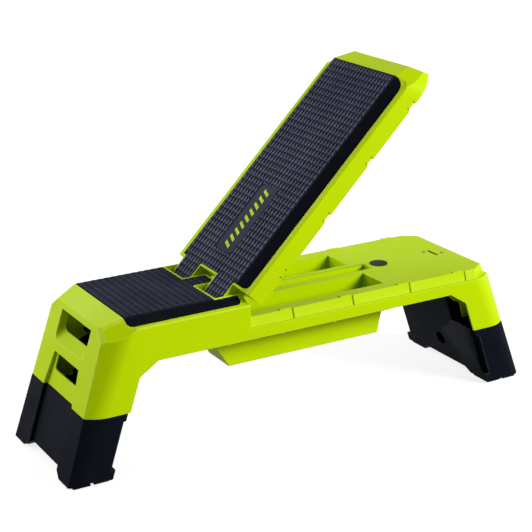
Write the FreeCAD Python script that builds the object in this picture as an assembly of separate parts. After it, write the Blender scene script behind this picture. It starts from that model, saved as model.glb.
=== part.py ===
import FreeCAD, Part
import math
import os

# Adjustable exercise deck: a moulded lime shell on two folding black legs,
# with a hinged backrest that lies flush with the seat or stands at an angle.
# Millimetres, +Z up, origin on the floor under the middle. The seat is at -X.

V = FreeCAD.Vector
ORIGIN = V(0, 0, 0)
X_AXIS = V(1, 0, 0)
Y_AXIS = V(0, 1, 0)
Z_AXIS = V(0, 0, 1)

# Envelope
SEAM_HALF_LENGTH = 548.0
SEAM_Z = 150.0
END_LEAN_SHARE = 0.332
HALF_WIDTH = 167.5
LEG_DEPTH = 99.0
STEP_Z = 349.0
DECK_Z = 301.0
EDGE_Z = 253.0
EDGE_SET_IN = 168.4
EDGE_HALF_LENGTH = SEAM_HALF_LENGTH - EDGE_SET_IN
KNEE_Z = 224.0
KNEE_SET_IN = 124.0
KNEE_HALF_LENGTH = SEAM_HALF_LENGTH - KNEE_SET_IN
WALL = 4.0
CORNER_RUN = 21.0
CORNER_RUN_HIGH = 30.5
CORNER_HIGH_Z = 330.0
CORNER_SKEW_SHARE = 1.352
CORNER_BLEND_R = 60.0
OVERRUN = 10.0
FAR = 900.0
FIT_GAP = 0.3
SLIP = 0.05
TOUCH = 0.01
ARC_STEPS = 4

# Mats and the ledges beside them
LEDGE_DROP = 15.0
LEDGE_Z = STEP_Z - LEDGE_DROP
LEDGE_ROLL = 2.5
LEDGE_WIDTH = 15.5
MAT_HALF_WIDTH = HALF_WIDTH - LEDGE_WIDTH
MAT_BEVEL_RUN = 25.0
MAT_TOP_HALF = MAT_HALF_WIDTH - MAT_BEVEL_RUN
MAT_THICK = 4.0
MAT_EDGE = 5.0
SEAT_MAT_END_X = -168.0
SEAT_MAT_R = 12.0

# Seat end of the deck
BAND_LOW_SET_IN = 60.0
BAND_LOW_X = SEAM_HALF_LENGTH - BAND_LOW_SET_IN
BAND_DROP = 18.5
BAND_LOW_Z = STEP_Z - BAND_DROP
BAND_TOP_SET_IN = 108.5
BAND_TOP_X = SEAM_HALF_LENGTH - BAND_TOP_SET_IN
FACET_SET_IN = 16.4
FACET_LOW_HALF = MAT_TOP_HALF - FACET_SET_IN
FACET_SET_OUT = 1.0
FACET_TOP_HALF = MAT_TOP_HALF + FACET_SET_OUT
FACET_SIDE_DROP = 1.0
FACET_SIDE_Z = LEDGE_Z - FACET_SIDE_DROP
SEAT_END_X = -156.0
NOSE_R = 10.0
NOTCH_X = -220.0
NOTCH_NEAR_Y = 30.0
NOTCH_MARGIN = 3.0
NOTCH_FAR_Y = MAT_TOP_HALF - NOTCH_MARGIN

# Head platform
PLATFORM_MARGIN = 13.5
PLATFORM_HALF = HALF_WIDTH - PLATFORM_MARGIN
PLATFORM_FOOT_MARGIN = 6.0
PLATFORM_FOOT_HALF = HALF_WIDTH - PLATFORM_FOOT_MARGIN
RIM_Z = 279.0
PLATFORM_SET_IN = 5.0
PLATFORM_CORNER_SET_IN = 10.0
SLIT_XS = (-46.0, 111.0, 267.0, KNEE_HALF_LENGTH)
SLIT_WIDTH = 3.0
TAB_RUN = 30.0
TAB_DEPTH = 8.0
TAB_HALF = PLATFORM_HALF - TAB_DEPTH
TAB_Z = 303.0

# Pockets, channel and tub
FLANGE_MARGIN = 20.5
FLANGE_HALF = HALF_WIDTH - FLANGE_MARGIN
POCKET_NEAR_Y = 34.5
POCKET_MARGIN = 26.0
POCKET_FAR_Y = FLANGE_HALF - POCKET_MARGIN
POCKET_START_X = -150.0
POCKET_END_X = 221.0
POCKET_SHOULDER_Z = 284.0
TUB_TOP_Z = 247.0
TUB_START_X = -226.0
TUB_END_X = 212.6
TUB_LOW_START_X = -187.0
TUB_LOW_END_X = 198.0
TUB_FLOOR_Z = 187.0
SLEEVE_SKIN = 3.5
CHANNEL_START_X = -153.0
CHANNEL_END_X = 255.0
CHANNEL_HALF = 18.0
CHANNEL_FLOOR_Z = 262.0
FLANGE_START_X = -231.0
FLANGE_END_X = 222.0
BOSS_XS = (-195.0, -60.0, 75.0, 205.0)
BOSS_INSET = 9.0
BOSS_Y = FLANGE_HALF - BOSS_INSET
BOSS_R = 7.0
BOSS_PILOT_R = 2.0
BOSS_PILOT_DEPTH = 14.0
SCREW_HEAD_R = 4.5
SCREW_HEAD_H = 2.5

# End windows and the recess below them
WINDOW_UPPER_HALF = 75.0
WINDOW_UPPER_LOW_Z = 268.0
WINDOW_UPPER_TOP_Z = 315.0
WINDOW_HEAD_TOP_Z = 290.0
WINDOW_LOWER_HALF = 58.0
WINDOW_LOWER_LOW_Z = 186.0
WINDOW_LOWER_TOP_Z = 222.0
WINDOW_LOWER_R = 8.0
HOPPER_DEPTH = 18.0
HOPPER_SILL_DROP = 20.0
HOPPER_JAMB_RUN = 4.0
HOPPER_R = 16.0
RECESS_HALF = 80.0
RECESS_TOP_HALF = 66.0
RECESS_TOP_Z = 226.0
RECESS_DEPTH = 9.0

# Stiffening ribs and leg lugs inside the deck
RIB_SEAT_SET_IN = 158.0
RIB_HEAD_SET_INS = (208.0, 148.0)
RIB_XS = (RIB_SEAT_SET_IN - SEAM_HALF_LENGTH, -310.0, -240.0, 280.0)
RIB_XS += tuple(SEAM_HALF_LENGTH - set_in for set_in in RIB_HEAD_SET_INS)
RIB_THICK = 3.0
RIB_LOW_Z = 254.0
LUG_NEAR_Y = 82.0
LUG_FAR_Y = 88.0
LUG_LOW_Z = 153.0
LUG_INNER_RUN = 55.0
LUG_EDGE = ((LUG_INNER_RUN, 41.0), (16.0, -10.0), (8.0, -17.0), (-8.0, -19.0), (-19.0, -65.0))

# Hinge between seat and backrest
HINGE_X = -179.0
HINGE_Z = 318.0
ROD_R = 5.0
ROD_OVERHANG = 8.0
ROD_HALF = NOTCH_FAR_Y + ROD_OVERHANG
BUSH_R = 8.0
CLIP_R = 9.0
CLIP_THICK = 2.0
BACKREST_ANGLE = 45.0

# Backrest, drawn lying flat
BODY_START_X = -138.0
SKIRT_Z = 288.5
HEAD_BAND_SET_IN = 100.0
HEAD_BAND_TOP_X = SEAM_HALF_LENGTH - HEAD_BAND_SET_IN
HEAD_BAND_DROP = 24.0
HEAD_BAND_LOW_Z = STEP_Z - HEAD_BAND_DROP
HEAD_FACET_SET_IN = 15.0
HEAD_FACET_LOW_HALF = MAT_TOP_HALF - HEAD_FACET_SET_IN
HEAD_FACET_SIDE_Z = LEDGE_Z
FINGER_GAP = 7.0
FINGER_NEAR_Y = NOTCH_NEAR_Y + FINGER_GAP
FINGER_FAR_Y = NOTCH_FAR_Y - FINGER_GAP
FINGER_TIP_X = -199.0
FINGER_TIP_RISE = 8.0
FINGER_TIP_LOW_Z = HINGE_Z + FINGER_TIP_RISE
FINGER_HEEL_X = -188.0
FINGER_DROP = 11.0
FINGER_LOW_Z = HINGE_Z - FINGER_DROP
BACK_MAT_START_X = -133.0
BACK_MAT_TIP_X = -190.0
BACK_MAT_HEAD_R = 26.0
BACK_MAT_HINGE_R = 12.0
BACK_RIB_HEAD_SET_IN = 198.0
BACK_RIB_Y = 60.0
BACK_RIB_LOW_Z = 303.3
NOTCH_HEAD_SET_INS = (143.9, 123.4)
HEAD_NOTCH = tuple(SEAM_HALF_LENGTH - set_in for set_in in NOTCH_HEAD_SET_INS)
SKIRT_NOTCHES = ((-63.7, -43.4), (92.0, 112.6), (249.3, 268.4), HEAD_NOTCH)
SKIRT_NOTCH_H = 4.5
BUFFER_R = 1.8
BUFFER_RISE = 2.6
BUFFER_SINK = 0.3
BADGE_START_X = -83.0
BADGE_END_X = 97.0
BADGE_HALF = 36.0
BADGE_R = 14.0
BADGE_GROOVE = 1.2
BADGE_SINK = 2.0
BADGE_PROUD = 0.5

# Bumper, catch and keeper
BUMPER_X = 287.0
BUMPER_R = 21.0
BUMPER_SINK = 2.0
BUMPER_PROUD = 2.0
CATCH_SET_IN = 103.0
CATCH_X = SEAM_HALF_LENGTH - CATCH_SET_IN
CATCH_SLOT_HALF_X = 4.5
CATCH_SLOT_HALF_Y = 21.5
KEEPER_HALF_X = 27.0
KEEPER_HALF_Y = 32.0
KEEPER_THICK = 4.0
KEEPER_SCREW_RUNS = ((-17.0, 13.0), (18.0, -13.0))
KEEPER_SCREWS = tuple((CATCH_X + run, y) for run, y in KEEPER_SCREW_RUNS)
KEEPER_SCREW_R = 2.2
KEEPER_SCREW_LOW_Z = 286.0
HOOK_HALF_Y = 17.0
HOOK_THICK = 4.0
HOOK_LOW_Z = 285.0
HOOK_NOSE = 3.5
HOOK_NOSE_H = 5.0
PLATE_THICK = 4.0
HOOK_PLATE_RUN = 42.0
HOOK_TUCK = 2.0
HOOK_SCREW_RUNS = (14.0, 33.0)
BACK_SCREW_R = 2.0
BACK_SCREW_BITE = 3.0

# Prop under the backrest
PROP_X = -140.0
PROP_Z = 280.0
PROP_PIN_R = 5.0
PROP_PIN_HALF = 25.0
PROP_HALF_WIDTH = 14.0
PROP_TIP_HALF_WIDTH = 8.0
PROP_HALF_THICK = 8.0
PROP_EYE_R = 10.0
PROP_TIP_RUN = 44.0
PROP_PANEL_SINK = 9.0
PROP_PANEL_HALF = 4.5
PROP_PANEL_MARGIN = 18.0
HEAD_REACH = 380.0
SADDLE_RIB_RUNS = (-61.0, 59.0)
BACK_RIB_XS = (-60.0, 60.0) + tuple(HINGE_X + HEAD_REACH + run for run in SADDLE_RIB_RUNS)
BACK_RIB_XS += (SEAM_HALF_LENGTH - BACK_RIB_HEAD_SET_IN,)
HEAD_DROP = 6.0
HEAD_BAR_R = 5.0
HEAD_BAR_HALF = 16.0
SADDLE_HALF_Y = 24.0
SADDLE_SLOT_HALF = 10.0
SADDLE_LOW_Z = 303.5
SADDLE_BACK_RUN = 22.0
SADDLE_FRONT_RUN = 26.0
SADDLE_FLANGE_RUN = 44.0
SADDLE_SCREW_X_RUN = 36.0
SADDLE_SCREW_Y = 15.0
SADDLE_GAP = 0.25
SADDLE_RAMP_RELIEF = 1.5
PROP_BAY_RUN = 80.0
PROP_BAY_GAP = 4.0

# Legs, drawn for the seat end
LEG_BOTTOM_Z = 5.0
LEG_TOP_Z = 149.5
FOOT_WIDTH = 69.5
ARCH_FLARE = 18.0
ARCH_FOOT_HALF = HALF_WIDTH - FOOT_WIDTH
ARCH_HALF = ARCH_FOOT_HALF - ARCH_FLARE
ARCH_Z = 17.0
FOOT_STEP_Z = 28.0
INNER_PLATE_MARGIN = 17.5
INNER_PLATE_HALF = HALF_WIDTH - INNER_PLATE_MARGIN
SIDE_SET_BACK = 12.0
LIP_SET_BACK = 5.0
LIP_LOW_Z = 132.0
LEG_OUTER_SKIN = 16.0
LEG_INNER_SKIN = 6.0
LEG_CAVITY_MARGIN = 22.5
LEG_CAVITY_HALF = HALF_WIDTH - LEG_CAVITY_MARGIN
LEG_CAVITY_FLOOR_Z = 24.0
LEG_FOOT_FLOOR_Z = 12.0
LEG_FOOT_WALL = 6.0
FOOT_GROOVE_H = 5.0
LEG_FOOT_NEAR_Y = ARCH_FOOT_HALF + LEG_FOOT_WALL
LEG_SIDE_WALL = 6.5
LEG_SIDE_CAVITY_HALF = HALF_WIDTH - LEG_SIDE_WALL
LEG_SIDE_CAVITY_OUT = 36.0
LEG_SIDE_CAVITY_IN = 18.0
LEG_HOLE_R = 17.0
LEG_HOLE_Z = 71.0
TONGUE_HALF = 78.0
TONGUE_FLANGE_Y = 70.0
TONGUE_ROOT_Z = 110.0
TONGUE_TOP_Z = 252.0
TONGUE_THICK = 8.0
TONGUE_LAP = 2.0
HOOK_LIP_ROOT_Z = 240.0
HOOK_LIP_RUN = 32.0
HOOK_LIP_RISE = 12.0
HOOK_LIP_TIP = 6.0
PIVOT_SET_IN = 91.0
PIVOT_X = PIVOT_SET_IN - SEAM_HALF_LENGTH
PIVOT_Z = 218.0
FLANGE_REACH = 14.0
FLANGE_NECK_DROP = 30.0
FLANGE_RUN = 16.0
PIN_R = 5.0
PIN_NEAR_Y = 66.0
PIN_HEAD_R = 8.0
PIN_HEAD_H = 3.0
PAD_SET_INS = ((10.0, 45.0), (-38.0, -1.0))
PAD_INSET = 5.0
PAD_NEAR_Y = ARCH_FOOT_HALF + PAD_INSET
PAD_MARGIN = 8.5
PAD_FAR_Y = HALF_WIDTH - PAD_MARGIN


def box(x0, x1, y0, y1, z0, z1):
    return Part.makeBox(x1 - x0, y1 - y0, z1 - z0, V(x0, y0, z0))


def prism_xz(points, y0, y1):
    wire = Part.makePolygon([V(x, y0, z) for x, z in points] + [V(points[0][0], y0, points[0][1])])
    return Part.Face(wire).extrude(V(0, y1 - y0, 0))


def prism_yz(points, x0, x1):
    wire = Part.makePolygon([V(x0, y, z) for y, z in points] + [V(x0, points[0][0], points[0][1])])
    return Part.Face(wire).extrude(V(x1 - x0, 0, 0))


def prism_xy(points, z0, z1):
    wire = Part.makePolygon([V(x, y, z0) for x, y in points] + [V(points[0][0], points[0][1], z0)])
    return Part.Face(wire).extrude(V(0, 0, z1 - z0))


def rod_x(radius, x0, x1, y, z):
    return Part.makeCylinder(radius, x1 - x0, V(x0, y, z), X_AXIS)


def rod_y(radius, y0, y1, x, z):
    return Part.makeCylinder(radius, y1 - y0, V(x, y0, z), Y_AXIS)


def rod_z(radius, z0, z1, x, y):
    return Part.makeCylinder(radius, z1 - z0, V(x, y, z0), Z_AXIS)


def both_sides(shape):
    """The shape and its twin across the middle plane."""
    return [shape, shape.mirror(ORIGIN, Y_AXIS)]


def head_twin(shape):
    """The shape mirrored from the seat end to the head end."""
    return shape.mirror(ORIGIN, X_AXIS)


def joined(shapes):
    """One solid from pieces that overlap or touch."""
    return shapes[0].multiFuse(shapes[1:]).removeSplitter()


def outside(point, normal):
    """A large block on the outer side of a plane."""
    block = Part.makeBox(2 * FAR, 2 * FAR, FAR, V(-FAR, -FAR, 0))
    block.Placement = FreeCAD.Placement(point, FreeCAD.Rotation(Z_AXIS, normal))
    return block


def end_x(z):
    return SEAM_HALF_LENGTH + END_LEAN_SHARE * (SEAM_Z - z)


def inner_x(z):
    return end_x(z) - LEG_DEPTH


def end_slab(z0, z1, outer_inset, inner_inset, y0, y1):
    """Part of the seat end between two depths measured in from the end face."""
    outline = [(outer_inset - end_x(z0), z0), (inner_inset - end_x(z0), z0)]
    outline += [(inner_inset - end_x(z1), z1), (outer_inset - end_x(z1), z1)]
    return prism_xz(outline, y0, y1)


def end_waste(sign, inset):
    """Everything beyond an end face."""
    lean = V(sign, 0, END_LEAN_SHARE)
    return outside(V(sign * (SEAM_HALF_LENGTH - inset), 0, SEAM_Z), lean)


def facet_waste(sign, side, corners, inset):
    """Everything beyond the plane through three points given for the +X, +Y corner."""
    points = [V(sign * x, side * y, z) for x, y, z in corners]
    normal = (points[1] - points[0]).cross(points[2] - points[0])
    normal.normalize()
    if normal.x * sign < 0:
        normal = -normal
    return outside(points[0] - normal * inset, normal)


def corner_wastes(sign, inset):
    """Blocks that trim the two upright corners of an end."""
    low_run = CORNER_RUN
    high_run = CORNER_RUN_HIGH
    corners = (
        (end_x(SEAM_Z), HALF_WIDTH - low_run, SEAM_Z),
        (end_x(SEAM_Z) - CORNER_SKEW_SHARE * low_run, HALF_WIDTH, SEAM_Z),
        (end_x(CORNER_HIGH_Z), HALF_WIDTH - high_run, CORNER_HIGH_Z),
    )
    return [facet_waste(sign, side, corners, inset) for side in (1, -1)]


def seat_facet_wastes(inset):
    corners = (
        (BAND_LOW_X, FACET_LOW_HALF, BAND_LOW_Z),
        (BAND_TOP_X, FACET_TOP_HALF, STEP_Z),
        (BAND_TOP_X, MAT_HALF_WIDTH, FACET_SIDE_Z),
    )
    return [facet_waste(-1, side, corners, inset) for side in (1, -1)]


def head_facet_wastes(inset):
    corners = (
        (end_x(HEAD_BAND_LOW_Z), HEAD_FACET_LOW_HALF, HEAD_BAND_LOW_Z),
        (HEAD_BAND_TOP_X, MAT_TOP_HALF, STEP_Z),
        (HEAD_BAND_TOP_X, MAT_HALF_WIDTH, HEAD_FACET_SIDE_Z),
    )
    return [facet_waste(1, side, corners, inset) for side in (1, -1)]


def band_waste(sign, low_x, low_z, top_x, inset):
    """Everything above the sloping band at the top of an end."""
    normal = V(sign * (STEP_Z - low_z), 0, low_x - top_x)
    normal.normalize()
    return outside(V(sign * top_x, 0, STEP_Z) - normal * inset, normal)


def blended_corners(shape, sign):
    """Round the upright edges where the corner planes meet the sides."""
    edges = []
    for edge in shape.Edges:
        ends = [vertex.Point for vertex in edge.Vertexes]
        on_side = all(abs(abs(p.y) - HALF_WIDTH) < TOUCH for p in ends)
        upright = abs(ends[0].z - ends[-1].z) > abs(ends[0].x - ends[-1].x)
        near_end = all(sign * p.x > inner_x(p.z) + OVERRUN for p in ends)
        if on_side and upright and near_end:
            edges.append(edge)
    return shape.makeFillet(CORNER_BLEND_R, edges)


def crown_wastes(x0, x1):
    """What is taken off above the ledges, beside the raised bed of a mat."""
    outer = HALF_WIDTH + OVERRUN
    top = STEP_Z + OVERRUN
    outline = [(MAT_TOP_HALF, STEP_Z), (MAT_HALF_WIDTH, LEDGE_Z), (HALF_WIDTH - LEDGE_ROLL, LEDGE_Z)]
    outline += [(HALF_WIDTH, LEDGE_Z - LEDGE_ROLL), (outer, LEDGE_Z - LEDGE_ROLL)]
    outline += [(outer, top), (MAT_TOP_HALF, top)]
    return both_sides(prism_yz(outline, x0, x1))


def crowned_mat(x0, x1):
    """A strip of mat with its two bevelled sides."""
    upper = [(-MAT_HALF_WIDTH, LEDGE_Z), (-MAT_TOP_HALF, STEP_Z)]
    upper += [(MAT_TOP_HALF, STEP_Z), (MAT_HALF_WIDTH, LEDGE_Z)]
    lower = [(y, z - MAT_THICK) for y, z in reversed(upper)]
    return prism_yz(upper + lower, x0, x1)


def crowned_hollow(x0, x1, low_z):
    """The inside of a shell under a raised mat bed."""
    side = HALF_WIDTH - WALL
    drop = MAT_THICK + WALL
    half = [(side, low_z), (side, LEDGE_Z - drop), (MAT_HALF_WIDTH - WALL, LEDGE_Z - drop)]
    half += [(MAT_TOP_HALF - WALL, STEP_Z - drop)]
    return prism_yz(half + [(-y, z) for y, z in reversed(half)], x0, x1)


def seat_notches(grow):
    """Spaces for the backrest fingers in the end of the seat."""
    block = box(
        NOTCH_X - grow, SEAT_END_X + OVERRUN, NOTCH_NEAR_Y - grow, NOTCH_FAR_Y + grow,
        DECK_Z - grow, STEP_Z + OVERRUN,
    )
    return both_sides(block)


def nose_waste(inset):
    """What is taken off to round the top of the seat end."""
    x = SEAT_END_X - NOSE_R
    z = STEP_Z - NOSE_R
    span = HALF_WIDTH + OVERRUN
    block = box(x, x + NOSE_R + OVERRUN, -span, span, z, z + NOSE_R + OVERRUN)
    return block.cut(rod_y(NOSE_R - inset, -span, span, x, z))


def arc(radius, centre_u, centre_v, start_deg):
    """Points along a quarter circle."""
    points = []
    for step in range(ARC_STEPS + 1):
        turn = math.radians(start_deg + 90 * step / ARC_STEPS)
        points.append((centre_u + radius * math.cos(turn), centre_v + radius * math.sin(turn)))
    return points


def rounded_mat(x0, x1, start_r, end_r):
    """A strip of mat with its four corners rounded in plan."""
    half = MAT_HALF_WIDTH
    plan = arc(end_r, x1 - end_r, half - end_r, 0) + arc(start_r, x0 + start_r, half - start_r, 90)
    plan += [(x, -y) for x, y in reversed(plan)]
    return crowned_mat(x0, x1).common(prism_xy(plan, 0, STEP_Z + OVERRUN))


def seat_mat_form(gap):
    mat = rounded_mat(gap - BAND_TOP_X, SEAT_MAT_END_X - gap, SEAT_MAT_R, SEAT_MAT_R)
    return mat.cut(joined(seat_notches(MAT_EDGE + gap)))


def make_seat_mat():
    return seat_mat_form(FIT_GAP)


def pocket_outline(grow, top_z):
    """Side view of a storage pocket from the deck down to the tub."""
    draft = (POCKET_END_X - TUB_END_X) / (DECK_Z - TUB_TOP_Z)
    outline = [(POCKET_START_X - grow, top_z)]
    outline += [(POCKET_END_X + grow + draft * (top_z - DECK_Z), top_z)]
    outline += [(TUB_END_X + grow, TUB_TOP_Z), (TUB_START_X - grow, TUB_TOP_Z)]
    return outline + [(POCKET_START_X - grow, POCKET_SHOULDER_Z)]


def deck_outer():
    half = [(SEAM_HALF_LENGTH, SEAM_Z), (inner_x(SEAM_Z), SEAM_Z), (KNEE_HALF_LENGTH, KNEE_Z)]
    half += [(EDGE_HALF_LENGTH, EDGE_Z)]
    outline = half + [(-x, z) for x, z in reversed(half)]
    outline += [(-BAND_LOW_X, BAND_LOW_Z), (-BAND_TOP_X, STEP_Z), (SEAT_END_X, STEP_Z)]
    outline += [(SEAT_END_X, DECK_Z), (end_x(DECK_Z), DECK_Z)]
    shape = prism_xz(outline, -HALF_WIDTH, HALF_WIDTH)
    for sign in (1, -1):
        shape = shape.cut(corner_wastes(sign, 0))
        shape = blended_corners(shape, sign)
    span = HALF_WIDTH + OVERRUN
    platform = prism_yz(
        [(-PLATFORM_FOOT_HALF, RIM_Z), (PLATFORM_FOOT_HALF, RIM_Z), (PLATFORM_HALF, DECK_Z),
         (-PLATFORM_HALF, DECK_Z)],
        SEAT_END_X, FAR,
    )
    platform = platform.cut([end_waste(1, PLATFORM_SET_IN)] + corner_wastes(1, PLATFORM_CORNER_SET_IN))
    ledge_waste = box(SEAT_END_X, FAR, -span, span, RIM_Z, DECK_Z + OVERRUN).cut(platform)
    wastes = seat_facet_wastes(0) + crown_wastes(-BAND_TOP_X, SEAT_END_X)
    return shape.cut(wastes + [nose_waste(0), ledge_waste])


def deck_hollow():
    low = SEAM_Z - OVERRUN
    side = HALF_WIDTH - WALL
    seat = crowned_hollow(-FAR, SEAT_END_X - WALL, low).cut([nose_waste(WALL)] + seat_notches(WALL))
    deck = box(SEAT_END_X - 2 * WALL, FAR, WALL - PLATFORM_HALF, PLATFORM_HALF - WALL, low, DECK_Z - WALL)
    rim = box(SEAT_END_X - 2 * WALL, FAR, -side, side, low, RIM_Z - WALL)
    hollow = joined([seat, deck, rim])
    wastes = [end_waste(-1, WALL), end_waste(1, PLATFORM_SET_IN + WALL)]
    wastes += corner_wastes(-1, WALL) + corner_wastes(1, PLATFORM_CORNER_SET_IN + WALL)
    wastes += seat_facet_wastes(WALL)
    wastes.append(band_waste(-1, BAND_LOW_X, BAND_LOW_Z, BAND_TOP_X, WALL + MAT_THICK))
    pan = prism_yz(
        [(-RECESS_HALF - WALL, low), (RECESS_HALF + WALL, low),
         (RECESS_TOP_HALF + WALL, RECESS_TOP_Z + WALL), (-RECESS_TOP_HALF - WALL, RECESS_TOP_Z + WALL)],
        -FAR, FAR,
    ).common(end_slab(low, STEP_Z, 0, RECESS_DEPTH + WALL, -HALF_WIDTH, HALF_WIDTH))
    return hollow.cut(wastes + [pan, head_twin(pan)])


def lug_plate():
    """Seat end plate that carries a leg pivot."""
    inner = PIVOT_X + LUG_INNER_RUN
    outline = [(-SEAM_HALF_LENGTH, LUG_LOW_Z), (-SEAM_HALF_LENGTH, STEP_Z), (inner, STEP_Z)]
    outline += [(PIVOT_X + run, PIVOT_Z + rise) for run, rise in LUG_EDGE]
    return prism_xz(outline, LUG_NEAR_Y, LUG_FAR_Y)


def window_passage(half, low_z, top_z, radius, flare, depths, grow):
    """Passage through the seat end, rounded below, that may widen towards the end face."""
    rings = []
    for depth in depths:
        share = 1 - depth / HOPPER_DEPTH
        side = half + grow + flare[0] * share
        low = low_z - grow - flare[1] * share
        ring = arc(radius, side - radius, low + radius, 270) + [(side, top_z + grow)]
        ring += [(-y, z) for y, z in reversed(ring)]
        points = [V(depth - end_x(z), y, z) for y, z in ring]
        rings.append(Part.makePolygon(points + points[:1]))
    return Part.makeLoft(rings, True, True)


def upper_window(top_z, depths, grow):
    flare = (HOPPER_JAMB_RUN, HOPPER_SILL_DROP)
    return window_passage(WINDOW_UPPER_HALF, WINDOW_UPPER_LOW_Z, top_z, HOPPER_R, flare, depths, grow)


def make_deck_shell():
    outer = deck_outer()
    shell = outer.cut(deck_hollow())
    inserts = both_sides(lug_plate())
    inserts += [head_twin(lug) for lug in inserts]
    hopper_depths = (TOUCH, HOPPER_DEPTH)
    inserts.append(upper_window(WINDOW_UPPER_TOP_Z, hopper_depths, WALL))
    inserts.append(head_twin(upper_window(WINDOW_HEAD_TOP_Z, hopper_depths, WALL)))
    for x in RIB_XS:
        inserts.append(box(x, x + RIB_THICK, -HALF_WIDTH, HALF_WIDTH, RIB_LOW_Z, STEP_Z))
    sleeve = prism_xz(
        pocket_outline(SLEEVE_SKIN, DECK_Z), POCKET_NEAR_Y - SLEEVE_SKIN, POCKET_FAR_Y + SLEEVE_SKIN
    )
    inserts += both_sides(sleeve)
    trough = CHANNEL_HALF + SLEEVE_SKIN
    inserts.append(
        box(CHANNEL_START_X - SLEEVE_SKIN, CHANNEL_END_X + SLEEVE_SKIN, -trough, trough,
            CHANNEL_FLOOR_Z - SLEEVE_SKIN, DECK_Z)
    )
    for x in BOSS_XS:
        inserts += both_sides(rod_z(BOSS_R, TUB_TOP_Z, STEP_Z, x, BOSS_Y))
    core = deck_outer_core(outer)
    shell = joined([shell] + [insert.common(core) for insert in inserts] + rim_tabs())
    voids = both_sides(prism_xz(pocket_outline(0, DECK_Z + OVERRUN), POCKET_NEAR_Y, POCKET_FAR_Y))
    voids.append(
        box(CHANNEL_START_X, CHANNEL_END_X, -CHANNEL_HALF, CHANNEL_HALF, CHANNEL_FLOOR_Z, DECK_Z + OVERRUN)
    )
    voids += seat_notches(0)
    voids += end_voids()
    voids += deck_holes()
    for x in SLIT_XS:
        voids += both_sides(box(x, x + SLIT_WIDTH, PLATFORM_HALF - WALL, FAR, RIM_Z, FAR))
    voids.append(seat_mat_form(0))
    return shell.cut(voids)


def rim_tabs():
    """Low locating tabs along the edges of the head platform."""
    outline = [(TAB_HALF, DECK_Z - WALL), (PLATFORM_HALF, DECK_Z - WALL), (PLATFORM_HALF, TAB_Z)]
    outline += [(TAB_HALF, TAB_Z)]
    tabs = []
    for x in SLIT_XS:
        tabs += both_sides(prism_yz(outline, x - TAB_RUN, x))
    return tabs


def deck_outer_core(outer):
    """The space that inner walls may fill: inside the outer form and down to the tub."""
    below = box(
        FLANGE_START_X, FLANGE_END_X, -FLANGE_HALF, FLANGE_HALF, TUB_TOP_Z, EDGE_Z + OVERRUN
    )
    return outer.fuse(below).cut(seat_notches(0))


def end_voids():
    """Hand windows and recesses in both ends."""
    voids = []
    recess = prism_yz(
        [(-RECESS_HALF, SEAM_Z - OVERRUN), (RECESS_HALF, SEAM_Z - OVERRUN),
         (RECESS_TOP_HALF, RECESS_TOP_Z), (-RECESS_TOP_HALF, RECESS_TOP_Z)],
        -FAR, FAR,
    ).common(end_slab(SEAM_Z - OVERRUN, STEP_Z, -OVERRUN, RECESS_DEPTH, -HALF_WIDTH, HALF_WIDTH))
    lower = window_passage(
        WINDOW_LOWER_HALF, WINDOW_LOWER_LOW_Z, WINDOW_LOWER_TOP_Z, WINDOW_LOWER_R, (0, 0),
        (-OVERRUN, RECESS_DEPTH + 2 * WALL), 0,
    )
    for void in (recess, lower):
        voids += [void, head_twin(void)]
    upper_depths = (-OVERRUN, HOPPER_DEPTH + TOUCH)
    voids.append(upper_window(WINDOW_UPPER_TOP_Z, upper_depths, 0))
    return voids + [head_twin(upper_window(WINDOW_HEAD_TOP_Z, upper_depths, 0))]


def deck_holes():
    """Bores for pins, screws, the bumper and the catch."""
    holes = [rod_y(ROD_R, -ROD_HALF, ROD_HALF, HINGE_X, HINGE_Z)]
    holes.append(rod_y(PROP_PIN_R, -PROP_PIN_HALF, PROP_PIN_HALF, PROP_X, PROP_Z))
    holes.append(rod_z(BUMPER_R, DECK_Z - BUMPER_SINK, DECK_Z + OVERRUN, BUMPER_X, 0))
    holes.append(
        box(CATCH_X - CATCH_SLOT_HALF_X, CATCH_X + CATCH_SLOT_HALF_X,
            -CATCH_SLOT_HALF_Y, CATCH_SLOT_HALF_Y, DECK_Z - 2 * WALL, DECK_Z + OVERRUN)
    )
    for x, y in KEEPER_SCREWS:
        holes.append(rod_z(KEEPER_SCREW_R, DECK_Z - 2 * WALL, DECK_Z + OVERRUN, x, y))
        holes.append(rod_z(SCREW_HEAD_R, DECK_Z - SCREW_HEAD_H, DECK_Z + OVERRUN, x, y))
    for x in BOSS_XS:
        holes += both_sides(
            rod_z(BOSS_PILOT_R, TUB_TOP_Z - OVERRUN, TUB_TOP_Z + BOSS_PILOT_DEPTH, x, BOSS_Y)
        )
    span = LUG_FAR_Y + OVERRUN
    pivot_bore = rod_y(PIN_R, -span, span, PIVOT_X, PIVOT_Z)
    return holes + [pivot_bore, head_twin(pivot_bore)]


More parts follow.
